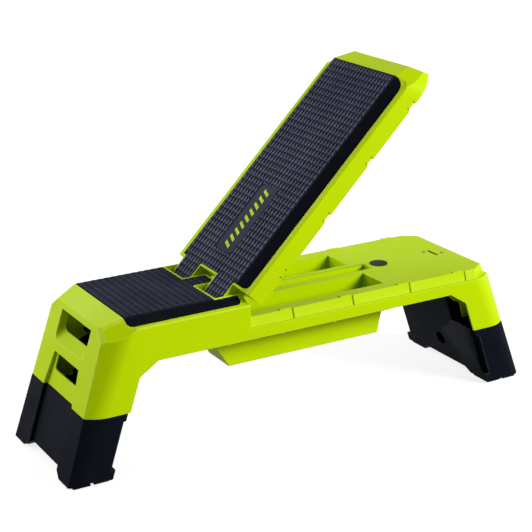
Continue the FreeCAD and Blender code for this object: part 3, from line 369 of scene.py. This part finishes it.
LIME_FINISH = Finish(
    name="lime_moulded", colour=(0.455, 0.63, 0.0), deep=(0.405, 0.575, 0.0), wear_and_highlight=(0.58, 0.74, 0.06),
    roughness=(0.36, 0.48), specular=0.035, fine=900.0, broad=5.0, bump=0.00006,
    tone_share=0.35, wear_and_highlight_share=0.45, scuff_share=0.08,
)
# Tub colour a little lighter than the lime: painted light to offset the shade that the tub sits in under
# the deck.
TUB_PAINTED_LIGHT_FINISH = Finish(
    name="tub_moulded_painted_light", colour=(0.475, 0.66, 0.0), deep=(0.42, 0.59, 0.0), wear_and_highlight=(0.58, 0.74, 0.12),
    roughness=(0.42, 0.55), specular=0.035, fine=700.0, broad=7.0, bump=0.00007,
    tone_share=0.4, wear_and_highlight_share=0.6, scuff_share=0.1,
)
BLACK_FINISH = Finish(
    name="black_moulded", colour=(0.0048, 0.0062, 0.0105), deep=(0.0036, 0.0046, 0.0076),
    wear_and_highlight=(0.030, 0.035, 0.050), roughness=(0.42, 0.54), specular=0.01, fine=1100.0, broad=8.0,
    bump=0.00008, tone_share=0.6, wear_and_highlight_share=0.7, scuff_share=0.08,
)
MAT_FINISH = Finish(
    name="mat_rubber_base", colour=(0.0060, 0.0068, 0.0100), deep=(0.0042, 0.0048, 0.0070),
    wear_and_highlight=(0.018, 0.021, 0.03), roughness=(0.6, 0.72), specular=0.01, fine=1400.0, broad=12.0,
    bump=0.00010, tone_share=0.6, wear_and_highlight_share=0.6, scuff_share=0.06,
)
# Teeth: lighter copies of the mat rubber, painted highlight on the tooth tops.
BACK_TOOTH_PAINTED_HIGHLIGHT_FINISH = replace(
    MAT_FINISH, name="back_mat_teeth_painted_highlight", colour=(0.056, 0.066, 0.106), deep=(0.041, 0.049, 0.079),
    wear_and_highlight=(0.095, 0.108, 0.145), roughness=(0.42, 0.54), specular=0.04, wear_and_highlight_share=0.5, scuff_share=0.12,
)
SEAT_TOOTH_PAINTED_HIGHLIGHT_FINISH = replace(
    MAT_FINISH, name="seat_mat_teeth_painted_highlight", colour=(0.030, 0.034, 0.052), deep=(0.022, 0.025, 0.038),
    wear_and_highlight=(0.04, 0.045, 0.06), wear_and_highlight_share=0.5, scuff_share=0.12,
)
# Bed: darker than the teeth, painted shade in the gaps between them.
BACK_BED_PAINTED_SHADE_FINISH = replace(
    MAT_FINISH, name="back_mat_bed_painted_shade", colour=(0.012, 0.0145, 0.026), deep=(0.009, 0.011, 0.02),
    wear_and_highlight=(0.04, 0.045, 0.06), specular=0.02, wear_and_highlight_share=0.5, scuff_share=0.08,
)
SEAT_BED_PAINTED_SHADE_FINISH = replace(
    MAT_FINISH, name="seat_mat_bed_painted_shade", colour=(0.006, 0.0072, 0.011), deep=(0.0045, 0.0055, 0.0085),
    wear_and_highlight=(0.012, 0.014, 0.02), wear_and_highlight_share=0.5, scuff_share=0.08,
)
BADGE_FINISH = Finish(
    name="badge_satin", colour=(0.028, 0.033, 0.053), deep=(0.022, 0.026, 0.042),
    wear_and_highlight=(0.06, 0.066, 0.09), roughness=(0.45, 0.55), specular=0.02, fine=1200.0, broad=10.0,
    bump=0.00006, tone_share=0.5, wear_and_highlight_share=0.5, scuff_share=0.1,
)
PAD_FINISH = Finish(
    name="pad_plain_rubber", colour=(0.012, 0.013, 0.016), deep=(0.008, 0.009, 0.011),
    wear_and_highlight=(0.045, 0.045, 0.05), roughness=(0.6, 0.75), specular=0.12, fine=1600.0, broad=14.0,
    bump=0.00012, tone_share=0.6, wear_and_highlight_share=0.5, scuff_share=0.15,
)
STEEL_FINISH = Finish(
    name="plated_steel", colour=(0.58, 0.59, 0.61), deep=(0.46, 0.47, 0.5), wear_and_highlight=(0.75, 0.75, 0.77),
    roughness=(0.24, 0.38), specular=0.5, fine=2200.0, broad=20.0, bump=0.00003,
    tone_share=0.5, wear_and_highlight_share=0.4, scuff_share=0.5, metallic=1.0,
)
DARK_SCREW_FINISH = Finish(
    name="blackened_steel", colour=(0.03, 0.03, 0.033), deep=(0.018, 0.018, 0.02), wear_and_highlight=(0.2, 0.2, 0.21),
    roughness=(0.35, 0.5), specular=0.3, fine=2400.0, broad=30.0, bump=0.00003,
    tone_share=0.5, wear_and_highlight_share=0.5, scuff_share=0.3, metallic=0.6,
)


class Workshop:
    """Holds the materials and makes finished objects from meshes."""

    def __init__(self) -> None:
        """Build the shared node groups."""
        self.groups = SurfaceGroups()
        self.made: dict[str, bpy.types.Material] = {}

    def material(self, finish: Finish, edge: bool = False) -> bpy.types.Material:
        """Get a finish's material, made at its first use.

        Args:
            finish: Finish that is wanted.
            edge: Whether it is the finish of the rounded edges, with wear and a painted highlight.

        Returns:
            The material.
        """
        name = finish.edge_name if edge else finish.name
        if name not in self.made:
            self.made[name] = finish.build(self.groups, edge)
        return self.made[name]

    def dress_node(self, node: str, finish: Finish) -> None:
        """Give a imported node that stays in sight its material.

        Args:
            node: Name of the node.
            finish: Finish that it gets.
        """
        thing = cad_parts[node]
        material = self.material(finish)
        if not thing.material_slots:
            thing.data.materials.append(material)
        for slot in thing.material_slots:
            slot.material = material
        LOG.info("dressed node %s", node)

    def piece(self, name: str, shape: bmesh.types.BMesh, finish: Finish, body: Body,
              stands_for: tuple[str, ...] = ()) -> bpy.types.Object:
        """Make an object of a finished mesh and put it on its body.

        Args:
            name: Name of the piece.
            shape: Mesh of the piece, which is freed.
            finish: Finish of the faces, and of the rounded edges.
            body: Body that the piece rides on.
            stands_for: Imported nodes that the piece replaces.

        Returns:
            The object.
        """
        mesh = bpy.data.meshes.new(name)
        shape.to_mesh(mesh)
        shape.free()
        for edge in (False, True):
            mesh.materials.append(self.material(finish, edge))
        thing = bpy.data.objects.new(name, mesh)
        bpy.context.scene.collection.objects.link(thing)
        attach(thing, body.value)
        if stands_for:
            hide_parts(*stands_for)
        LOG.info("piece %s on %s", name, body.value)
        return thing


@dataclass(frozen=True)
class EdgeRounding:
    """How far the outer edges of a moulding are rounded."""

    width: float
    widest: float = 0.0
    width_at: Callable[[Vector], float] | None = None
    segments: int = 3
    least_angle: float = math.radians(24.0)
    slack_share: float = 0.4
    least_share: float = 0.06
    most_rounds: int = 12
    speck: float = 1.0e-8

    def mark(self, shape: bmesh.types.BMesh) -> None:
        """Write each outer edge's share of the width as its bevel weight.

        Args:
            shape: Mesh whose flat faces are whole.
        """
        layer = shape.edges.layers.float.new(EDGE_WEIGHT)
        for edge in shape.edges:
            if len(edge.link_faces) != 2 or not edge.is_convex:
                continue
            if edge.calc_face_angle() < self.least_angle:
                continue
            breadth = min(2 * face.calc_area() / face.calc_perimeter() for face in edge.link_faces)
            middle = (edge.verts[0].co + edge.verts[1].co) / 2
            wanted = self.width if self.width_at is None else self.width_at(middle)
            if wanted == 0:
                continue
            reach = min(wanted, self.slack_share * breadth)
            edge[layer] = max(self.least_share, reach / self.full_width)
        self.even(shape, layer)

    @property
    def full_width(self) -> float:
        """Rounding of an edge whose share is 1."""
        return max(self.width, self.widest)

    @staticmethod
    def even(shape: bmesh.types.BMesh, layer: bmesh.types.BMLayerItem) -> None:
        """Give edges that run on into each other the lesser of their shares.

        Args:
            shape: Mesh with marked edges.
            layer: Layer that holds the shares.
        """
        waiting = set(shape.verts)
        while waiting:
            marked = [edge for edge in waiting.pop().link_edges if edge[layer] > 0]
            if len(marked) != 2 or marked[0][layer] == marked[1][layer]:
                continue
            share = min(edge[layer] for edge in marked)
            for edge in marked:
                edge[layer] = share
                waiting.update(edge.verts)

    def finish(self, thing: bpy.types.Object) -> None:
        """Round the marked edges with a modifier.

        Args:
            thing: Object whose mesh holds the weights.
        """
        for polygon in thing.data.polygons:
            polygon.use_smooth = True
        thing.data.set_sharp_from_angle(angle=self.least_angle)
        bevel = thing.modifiers.new("rounded_edges", "BEVEL")
        bevel.limit_method = "WEIGHT"
        bevel.width = self.full_width
        bevel.material = EDGE_SLOT
        bevel.segments = self.segments
        bevel.profile = ROUND_PROFILE
        bevel.use_clamp_overlap = False
        bevel.loop_slide = False
        bevel.harden_normals = True
        self.settle(thing)

    def settle(self, thing: bpy.types.Object) -> None:
        """Take the rounding off the faces that it would fold over themselves.

        Args:
            thing: Object whose mesh holds the weights, with its modifier.
        """
        mesh = thing.data
        numbers = mesh.attributes.new(FACE_NUMBER, "INT", "FACE")
        numbers.data.foreach_set("value", range(len(mesh.polygons)))
        places = {key: place for place, key in enumerate(mesh.edge_keys)}
        for _ in range(self.most_rounds):
            folded = self.folded_faces(thing)
            if not folded:
                break
            weights = mesh.attributes[EDGE_WEIGHT].data
            for number in folded:
                for key in mesh.polygons[number].edge_keys:
                    weights[places[key]].value = 0.0
            mesh.update()
        LOG.info("%s is left with %d folded faces", thing.name, len(self.folded_faces(thing)))
        mesh.attributes.remove(mesh.attributes[FACE_NUMBER])

    def folded_faces(self, thing: bpy.types.Object) -> set[int]:
        """Find the faces whose rounded shape folds over itself.

        Args:
            thing: Object with numbered faces.

        Returns:
            Their numbers.
        """
        rounded = thing.evaluated_get(bpy.context.evaluated_depsgraph_get())
        mesh = rounded.to_mesh()
        mesh.calc_loop_triangles()
        numbers = mesh.attributes[FACE_NUMBER].data
        folded = set()
        for triangle in mesh.loop_triangles:
            a, b, c = (mesh.vertices[index].co for index in triangle.vertices)
            facing = (b - a).cross(c - a).dot(mesh.polygons[triangle.polygon_index].normal)
            if facing < -self.speck:
                folded.add(numbers[triangle.polygon_index].value)
        rounded.to_mesh_clear()
        return folded


def node_shape(node: str, flat_angle: float = math.radians(1.0),
               same_place: float = 0.02 * MM) -> bmesh.types.BMesh:
    """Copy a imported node's mesh with its triangles joined into whole faces.

    Args:
        node: Name of the node.
        flat_angle: Bend up to which neighbouring faces are one.
        same_place: Distance up to which corners are one.

    Returns:
        The copy.
    """
    shape = bmesh.new()
    shape.from_mesh(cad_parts[node].data)
    bmesh.ops.remove_doubles(shape, verts=shape.verts, dist=same_place)
    bmesh.ops.dissolve_limit(
        shape, angle_limit=flat_angle, use_dissolve_boundaries=False, verts=shape.verts, edges=shape.edges
    )
    return shape


def moulding(shop: Workshop, node: str, finish: Finish, body: Body,
             rounding: EdgeRounding) -> None:
    """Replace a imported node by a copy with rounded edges.

    Args:
        shop: Workshop that makes the object.
        node: Name of the node.
        finish: Finish of the copy.
        body: Body that it rides on.
        rounding: Rounding of its edges.
    """
    shape = node_shape(node)
    rounding.mark(shape)
    thing = shop.piece(node + "_moulding", shape, finish, body, (node,))
    rounding.finish(thing)


@dataclass(frozen=True)
class MatTeeth:
    """Rows of small wedge teeth on a mat's flat top, and the bed that they stand on; the teeth take a
    lighter copy of the rubber as painted highlight, the bed a darker copy as painted shade between them.
    """

    row_pitch: float = 16.0 * MM
    column_pitch: float = 12.5 * MM
    length: float = 14.6 * MM
    wide_end: float = 10.8 * MM
    narrow_end: float = 3.8 * MM
    height: float = 1.6 * MM
    draft: float = 0.8 * MM
    draft_share: float = 0.7
    facing_down: float = -0.9
    least_size: float = 4.0 * MM
    tooth_slot: int = PAINTED_HIGHLIGHT_TOOTH_SLOT

    def tooth(self) -> bpy.types.Mesh:
        """Make one tooth, wide end towards -X, standing on z = 0.

        Returns:
            The tooth's mesh.
        """
        shape = bmesh.new()
        half = self.length / 2
        ends = ((-half, self.wide_end / 2), (half, self.narrow_end / 2))
        corners = [shape.verts.new((x, -y, 0)) for x, y in ends]
        corners += [shape.verts.new((x, y, 0)) for x, y in reversed(ends)]
        base = shape.faces.new(corners)
        raised = bmesh.ops.extrude_face_region(shape, geom=[base])
        top = [part for part in raised["geom"] if isinstance(part, bmesh.types.BMVert)]
        for vert in top:
            vert.co.x -= math.copysign(self.draft, vert.co.x)
            vert.co.y -= math.copysign(min(self.draft, abs(vert.co.y) * self.draft_share), vert.co.y)
            vert.co.z = self.height
        bmesh.ops.recalc_face_normals(shape, faces=shape.faces)
        bottom = [face for face in shape.faces if face.normal.z < self.facing_down]
        bmesh.ops.delete(shape, geom=bottom, context="FACES_ONLY")
        mesh = bpy.data.meshes.new("tooth")
        shape.to_mesh(mesh)
        shape.free()
        return mesh

    def mark_bed(self, shape: bmesh.types.BMesh, z: float, turn: Matrix) -> None:
        """Give the mat's flat top the bed's darker material, painted shade between the teeth.

        Args:
            shape: Mesh of the mat.
            z: Height of the flat top, as drawn.
            turn: Turn from the drawn to the built place.
        """
        back = turn.inverted()
        for face in shape.faces:
            if all(abs((back @ vert.co).z - z) < self.draft for vert in face.verts):
                face.material_index = PAINTED_SHADE_BED_SLOT

    def cells(self, span: tuple[float, float], half_width: float) -> Iterator[Cell]:
        """Go through the full room of the teeth, row by row.

        Args:
            span: First and last X of the rows.
            half_width: Half of the width that the columns fill.

        Yields:
            First and last X and Y of a tooth.
        """
        rows = int((span[1] - span[0]) / self.row_pitch)
        columns = int(2 * half_width / self.column_pitch)
        step = (span[1] - span[0]) / rows
        reach_x = self.length / 2
        reach_y = self.wide_end / 2
        for row in range(rows):
            x = span[0] + (row + 0.5) * step
            for column in range(columns):
                y = (column + 0.5 - columns / 2) * self.column_pitch
                yield x - reach_x, x + reach_x, y - reach_y, y + reach_y

    def plant(self, shape: bmesh.types.BMesh, span: tuple[float, float], half_width: float, z: float,
              room: Callable[[Cell], Cell], turn: Matrix) -> int:
        """Add teeth in rows to a mat, drawn flat and then turned with it.

        Args:
            shape: Mesh that the teeth are added to.
            span: First and last X of the rows.
            half_width: Half of the width that the columns fill.
            z: Height of the mat's top.
            room: Trims the first and last X and Y of a tooth to the room that it has.
            turn: Turn from the drawn to the built place.

        Returns:
            How many teeth were planted.
        """
        field = bmesh.new()
        tooth = self.tooth()
        count = 0
        for cell in self.cells(span, half_width):
            x0, x1, y0, y1 = room(cell)
            if min(x1 - x0, y1 - y0) < self.least_size:
                continue
            first = len(field.verts)
            field.from_mesh(tooth)
            field.verts.ensure_lookup_table()
            size = Matrix.Diagonal(((x1 - x0) / self.length, (y1 - y0) / self.wide_end, 1.0, 1.0))
            place = Matrix.Translation(((x0 + x1) / 2, (y0 + y1) / 2, z))
            bmesh.ops.transform(field, matrix=place @ size, verts=field.verts[first:])
            count += 1
        bmesh.ops.transform(field, matrix=turn, verts=field.verts)
        for face in field.faces:
            face.material_index = self.tooth_slot
        field.to_mesh(tooth)
        field.free()
        shape.from_mesh(tooth)
        bpy.data.meshes.remove(tooth)
        return count


def toothed_mat(shop: Workshop, node: str, shape: bmesh.types.BMesh, body: Body,
                finishes: tuple[Finish, Finish], rounding: EdgeRounding) -> None:
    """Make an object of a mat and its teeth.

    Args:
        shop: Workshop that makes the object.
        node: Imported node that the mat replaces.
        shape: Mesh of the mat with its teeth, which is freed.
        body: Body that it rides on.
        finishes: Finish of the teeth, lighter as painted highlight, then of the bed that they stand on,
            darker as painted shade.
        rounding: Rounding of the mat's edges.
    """
    thing = shop.piece(node + "_toothed", shape, MAT_FINISH, body, (node,))
    for finish in finishes:
        thing.data.materials.append(shop.material(finish))
    rounding.finish(thing)


@dataclass(frozen=True)
class Deck:
    """Moulded deck with its seat mat, tub and small fittings."""

    mat_half: float = 152.0 * MM
    mat_drop: float = 15.0 * MM
    mat_start: float = -437.0 * MM
    mat_end: float = -170.0 * MM
    notch_x: float = -225.0 * MM
    notch_near: float = 25.0 * MM
    notch_far: float = 129.0 * MM
    end_start: float = -436.0 * MM
    end_side: float = 95.0 * MM
    end_low: float = 300.0 * MM
    shell_round: float = 3.0 * MM
    end_round: float = 10.0 * MM
    tub_rounding: EdgeRounding = EdgeRounding(2.0 * MM)
    mat_rounding: EdgeRounding = EdgeRounding(2.5 * MM)
    disc_rounding: EdgeRounding = EdgeRounding(1.2 * MM)
    teeth: MatTeeth = MatTeeth(
        length=14.0 * MM, wide_end=10.8 * MM, narrow_end=5.6 * MM, height=1.0 * MM, draft=0.7 * MM
    )
    bumps: MatTeeth = MatTeeth(
        length=13.8 * MM, wide_end=10.8 * MM, narrow_end=8.0 * MM, height=1.0 * MM, draft=1.6 * MM,
        tooth_slot=FACE_SLOT,
    )

    def build(self, shop: Workshop) -> None:
        """Build and dress the deck's pieces.

        Args:
            shop: Workshop that makes the objects.
        """
        rounding = EdgeRounding(self.shell_round, self.end_round, self.round_at)
        moulding(shop, "deck_shell", LIME_FINISH, Body.DECK, rounding)
        moulding(shop, "storage_tub", TUB_PAINTED_LIGHT_FINISH, Body.DECK, self.tub_rounding)
        moulding(shop, "bumper_disc", PAD_FINISH, Body.DECK, self.disc_rounding)
        self.seat_mat(shop)
        for node in ("tub_screws", "hinge_rod", "hinge_rod_clips", "prop_pin", "left_leg_pins",
                     "right_leg_pins"):
            shop.dress_node(node, STEEL_FINISH)
        shop.dress_node("keeper_screws", DARK_SCREW_FINISH)
        shop.dress_node("catch_keeper", BLACK_FINISH)

    def round_at(self, point: Vector) -> float:
        """Rounding of an edge by its middle: broad on the upper corners of the seat end."""
        at_corner = point.x < self.end_start and abs(point.y) > self.end_side and point.z > self.end_low
        return self.end_round if at_corner else self.shell_round

    def room(self, cell: Cell) -> Cell:
        """Keep a tooth off the finger notches.

        Args:
            cell: First and last X and Y of the tooth.

        Returns:
            The cell, trimmed.
        """
        x0, x1, y0, y1 = cell
        if self.notch_near < abs(y0 + y1) / 2 < self.notch_far:
            return x0, min(x1, self.notch_x), y0, y1
        return cell

    def seat_mat(self, shop: Workshop) -> None:
        """Build the seat mat with its teeth, and bumps on its sloping sides.

        Args:
            shop: Workshop that makes the object.
        """
        shape = node_shape("seat_mat")
        self.mat_rounding.mark(shape)
        self.teeth.mark_bed(shape, STEP_Z, Matrix())
        span = (self.mat_start, self.mat_end)
        count = self.teeth.plant(shape, span, MAT_TOP_HALF, STEP_Z, self.room, Matrix())
        slope = math.atan2(self.mat_drop, self.mat_half - MAT_TOP_HALF)
        for side in (1, -1):
            middle = (0.0, side * (self.mat_half + MAT_TOP_HALF) / 2, STEP_Z - self.mat_drop / 2)
            lean = Matrix.Translation(middle) @ Matrix.Rotation(-side * slope, 4, "X")
            count += self.bumps.plant(shape, span, self.bumps.column_pitch, 0.0, lambda cell: cell, lean)
        # Teeth painted lighter as highlight, bed painted darker as shade.
        finishes = (SEAT_TOOTH_PAINTED_HIGHLIGHT_FINISH, SEAT_BED_PAINTED_SHADE_FINISH)
        toothed_mat(shop, "seat_mat", shape, Body.DECK, finishes, self.mat_rounding)
        LOG.info("seat mat has %d teeth", count)


@dataclass(frozen=True)
class Backrest:
    """Moulded backrest with its mat, badge panel and catch."""

    hinge: Place = (-179.0 * MM, 0.0, 318.0 * MM)
    raise_angle: float = math.radians(45.0)
    mat_start: float = -189.0 * MM
    mat_end: float = 446.0 * MM
    body_start: float = -133.0 * MM
    corner_run: float = 6.0 * MM
    finger_near: float = 42.0 * MM
    finger_far: float = 112.0 * MM
    badge_start: float = -83.0 * MM
    badge_end: float = 97.0 * MM
    badge_half: float = 36.0 * MM
    badge_z: float = 349.5 * MM
    bar_count: int = 9
    bar_wide: float = 8.0 * MM
    bar_tall: float = 24.0 * MM
    bar_lean: float = 9.0 * MM
    bar_proud: float = 0.5 * MM
    bar_bevel: float = 0.15 * MM
    head_start: float = 446.0 * MM
    head_side: float = 95.0 * MM
    skirt_top: float = 299.0 * MM
    frame_round: float = 3.0 * MM
    head_round: float = 10.0 * MM
    mat_rounding: EdgeRounding = EdgeRounding(2.5 * MM)
    badge_rounding: EdgeRounding = EdgeRounding(1.0 * MM)
    teeth: MatTeeth = MatTeeth()

    @property
    def turn(self) -> Matrix:
        """Turn from lying flat to the resting angle."""
        there = Matrix.Translation(self.hinge)
        return there @ Matrix.Rotation(-self.raise_angle, 4, "Y") @ there.inverted()

    def round_at(self, point: Vector) -> float:
        """Rounding of an edge: none on the skirt, broad on the corners of the head.

        Args:
            point: Middle of the edge, at the resting angle.

        Returns:
            The width of the rounding.
        """
        flat = self.turn.inverted() @ point
        if flat.z < self.skirt_top:
            return 0.0
        if flat.x > self.head_start and abs(flat.y) > self.head_side:
            return self.head_round
        return self.frame_round

    def build(self, shop: Workshop) -> None:
        """Build and dress the backrest's pieces.

        Args:
            shop: Workshop that makes the objects.
        """
        rounding = EdgeRounding(self.frame_round, self.head_round, self.round_at)
        moulding(shop, "backrest_frame", LIME_FINISH, Body.BACKREST, rounding)
        moulding(shop, "badge_panel", BADGE_FINISH, Body.BACKREST, self.badge_rounding)
        self.mat(shop)
        self.badge_bars(shop)
        for node in ("hinge_bushes", "catch_hook", "prop_saddle"):
            shop.dress_node(node, BLACK_FINISH)
        for node in ("hook_screws", "saddle_screws"):
            shop.dress_node(node, STEEL_FINISH)
        shop.dress_node("skirt_buffers", PAD_FINISH)

    def room(self, cell: Cell) -> Cell:
        """Keep a tooth on the fingers and off the badge.

        Args:
            cell: First and last X and Y of the tooth, as drawn flat.

        Returns:
            The cell, trimmed.
        """
        x0, x1, y0, y1 = cell
        side = math.copysign(1.0, y0 + y1)
        near, far = sorted((side * y0, side * y1))
        if x0 < self.body_start and (near + far) / 2 < self.finger_near:
            x0 = self.body_start
        elif x0 < self.body_start:
            near = max(near, self.finger_near)
            far = min(far, self.finger_far)
        elif x1 > self.mat_end - self.corner_run:
            far = min(far, MAT_TOP_HALF - self.corner_run)
        if self.badge_start < x1 and x0 < self.badge_end and near < self.badge_half:
            if (near + far) / 2 > self.badge_half:
                near = self.badge_half
            elif x0 < self.badge_start:
                x1 = self.badge_start
            else:
                x0 = max(x0, self.badge_end)
        return (x0, x1, near, far) if side > 0 else (x0, x1, -far, -near)

    def mat(self, shop: Workshop) -> None:
        """Build the backrest mat with its teeth.

        Args:
            shop: Workshop that makes the object.
        """
        shape = node_shape("backrest_mat")
        self.mat_rounding.mark(shape)
        self.teeth.mark_bed(shape, STEP_Z, self.turn)
        span = (self.mat_start, self.mat_end)
        count = self.teeth.plant(shape, span, MAT_TOP_HALF, STEP_Z, self.room, self.turn)
        # Teeth painted lighter as highlight, bed painted darker as shade.
        finishes = (BACK_TOOTH_PAINTED_HIGHLIGHT_FINISH, BACK_BED_PAINTED_SHADE_FINISH)
        toothed_mat(shop, "backrest_mat", shape, Body.BACKREST, finishes, self.mat_rounding)
        LOG.info("backrest mat has %d teeth", count)

    def badge_bars(self, shop: Workshop) -> None:
        """Build plain slanted bars on the badge panel.

        Args:
            shop: Workshop that makes the object.
        """
        shape = bmesh.new()
        length = self.badge_end - self.badge_start
        step = length / (self.bar_count + 1)
        for number in range(self.bar_count):
            made = bmesh.ops.create_cube(shape, size=1.0)
            size = Matrix.Diagonal((self.bar_wide, self.bar_tall, 2 * self.bar_proud, 1.0))
            place = Matrix.Translation((self.badge_start + (number + 1) * step, 0.0, self.badge_z))
            bmesh.ops.transform(shape, matrix=size, verts=made["verts"])
            for vert in made["verts"]:
                vert.co.x += self.bar_lean * vert.co.y / self.bar_tall
            bmesh.ops.transform(shape, matrix=self.turn @ place, verts=made["verts"])
        bmesh.ops.bevel(
            shape, geom=shape.edges[:], offset=self.bar_bevel, segments=1, profile=ROUND_PROFILE,
            affect="EDGES", material=-1,
        )
        shop.piece("badge_bars", shape, LIME_FINISH, Body.BACKREST)


@dataclass(frozen=True)
class Prop:
    """Folding prop that holds the backrest up."""

    rounding: EdgeRounding = EdgeRounding(2.0 * MM)

    def build(self, shop: Workshop) -> None:
        """Build and dress the prop."""
        moulding(shop, "prop_strut", BLACK_FINISH, Body.PROP, self.rounding)
        shop.dress_node("prop_head_bar", STEEL_FINISH)


@dataclass(frozen=True)
class Leg:
    """One hollow folding leg with its foot pads."""

    body: Body
    shell_rounding: EdgeRounding = EdgeRounding(3.0 * MM)
    pad_rounding: EdgeRounding = EdgeRounding(1.5 * MM)

    def build(self, shop: Workshop) -> None:
        """Build and dress the leg.

        Args:
            shop: Workshop that makes the objects.
        """
        side = self.body.value.split("_")[0]
        moulding(shop, side + "_leg_shell", BLACK_FINISH, self.body, self.shell_rounding)
        moulding(shop, side + "_foot_pads", PAD_FINISH, self.body, self.pad_rounding)


@dataclass(frozen=True)
class SoftLamp:
    """A square studio lamp."""

    name: str
    place: Place
    aim: Place
    size: float
    watts: float

    def build(self) -> None:
        """Hang the lamp and point it."""
        lamp = bpy.data.lights.new(self.name, "AREA")
        lamp.shape = "SQUARE"
        lamp.size = self.size
        lamp.energy = self.watts
        thing = bpy.data.objects.new(self.name, lamp)
        thing.location = self.place
        towards = Vector(self.aim) - Vector(self.place)
        thing.rotation_euler = towards.to_track_quat("-Z", "Y").to_euler()
        bpy.context.scene.collection.objects.link(thing)


@dataclass(frozen=True)
class Studio:
    """Pale floor, plain light and the camera at the photograph's angle."""

    azimuth: float = math.radians(-29.38)
    elevation: float = math.radians(18.793)
    roll: float = math.radians(-0.945)
    distance: float = 3.43
    target: Place = (-0.0225, 0.0, 0.3507)
    focal_px: float = 1498.0
    frame_px: float = 532.0
    sensor_mm: float = 36.0
    ambient: float = 0.14
    floor_half: float = 20.0
    floor_colour: Colour = (0.32, 0.32, 0.32)
    floor_roughness: float = 0.9
    floor_glow: float = 0.8
    floor_near: float = 0.9
    floor_far: float = 3.2
    lamps: tuple[SoftLamp, ...] = (
        SoftLamp("key_front_right", (4.5, -5.8, 3.7), (0.0, 0.0, 0.35), 3.2, 840.0),
        SoftLamp("fill_left_back", (-2.9, 2.4, 1.75), (0.0, 0.0, 0.35), 3.4, 150.0),
        SoftLamp("sheen_back", (-0.55, 1.85, 1.5), (-0.3, 0.0, 0.35), 0.9, 12.0),
    )

    def build(self) -> None:
        """Build the floor, the light and the camera."""
        self.camera()
        self.world()
        self.floor()
        for lamp in self.lamps:
            lamp.build()
        bpy.context.scene.view_settings.view_transform = "Standard"
        LOG.info("studio with %d lamps", len(self.lamps))

    def camera(self) -> None:
        """Place the camera."""
        flat = math.cos(self.elevation)
        back = Vector((
            math.sin(self.azimuth) * flat, -math.cos(self.azimuth) * flat, math.sin(self.elevation),
        ))
        right = (-back).cross(Vector((0, 0, 1))).normalized()
        up = right.cross(-back)
        rolled_right = math.cos(self.roll) * right + math.sin(self.roll) * up
        rolled_up = math.cos(self.roll) * up - math.sin(self.roll) * right
        data = bpy.data.cameras.new("photo_camera")
        data.sensor_width = self.sensor_mm
        data.lens = self.focal_px / self.frame_px * self.sensor_mm
        thing = bpy.data.objects.new("photo_camera", data)
        axes = Matrix((rolled_right, rolled_up, back)).transposed().to_4x4()
        thing.matrix_world = Matrix.Translation(Vector(self.target) + self.distance * back) @ axes
        bpy.context.scene.collection.objects.link(thing)
        bpy.context.scene.camera = thing

    @staticmethod
    def seen(bench: NodeBench) -> bpy.types.NodeSocket:
        """Mask of the rays that see the background.

        Args:
            bench: Bench of the tree that uses the mask.

        Returns:
            1 for camera, glossy and transmission rays.
        """
        rays = bench.add("ShaderNodeLightPath")
        mask = bench.math("MAXIMUM", rays.outputs["Is Camera Ray"], rays.outputs["Is Glossy Ray"])
        return bench.math("MAXIMUM", mask, rays.outputs["Is Transmission Ray"])

    def world(self) -> None:
        """Light the scene softly from all round, and show white behind it."""
        world = bpy.data.worlds.new("studio_world")
        world.use_nodes = True
        bench = NodeBench(world.node_tree)
        background = world.node_tree.nodes["Background"]
        background.inputs["Color"].default_value = WHITE
        strength = bench.ramp(self.seen(bench), 0.0, 1.0, self.ambient, 1.0)
        bench.join(strength, background.inputs["Strength"])
        bpy.context.scene.world = world

    def floor(self) -> None:
        """Lay a pale floor that shows white and keeps the shadow."""
        shape = bmesh.new()
        bmesh.ops.create_grid(shape, x_segments=1, y_segments=1, size=self.floor_half)
        mesh = bpy.data.meshes.new("studio_floor")
        shape.to_mesh(mesh)
        shape.free()
        material = bpy.data.materials.new("pale_floor")
        material.use_nodes = True
        bench = NodeBench(material.node_tree)
        shader = material.node_tree.nodes["Principled BSDF"]
        shader.inputs["Base Color"].default_value = (*self.floor_colour, 1.0)
        shader.inputs["Roughness"].default_value = self.floor_roughness
        shader.inputs["Specular IOR Level"].default_value = 0.0
        shader.inputs["Emission Color"].default_value = WHITE
        place = bench.add("ShaderNodeTexCoord").outputs["Object"]
        reach = bench.add("ShaderNodeVectorMath")
        reach.operation = "LENGTH"
        bench.join(place, reach.inputs[0])
        whiter = bench.ramp(reach.outputs["Value"], self.floor_near, self.floor_far, self.floor_glow, 1.0)
        glow = bench.math("MULTIPLY", self.seen(bench), whiter)
        bench.join(glow, shader.inputs["Emission Strength"])
        mesh.materials.append(material)
        thing = bpy.data.objects.new("studio_floor", mesh)
        bpy.context.scene.collection.objects.link(thing)


def main() -> None:
    """Build the scene, piece by piece."""
    logging.basicConfig(level=logging.INFO, format="%(name)s: %(message)s")
    shop = Workshop()
    Studio().build()
    for part in (Deck(), Backrest(), Prop(), Leg(Body.LEFT_LEG), Leg(Body.RIGHT_LEG)):
        part.build(shop)


if __name__ == "__main__":
    main()
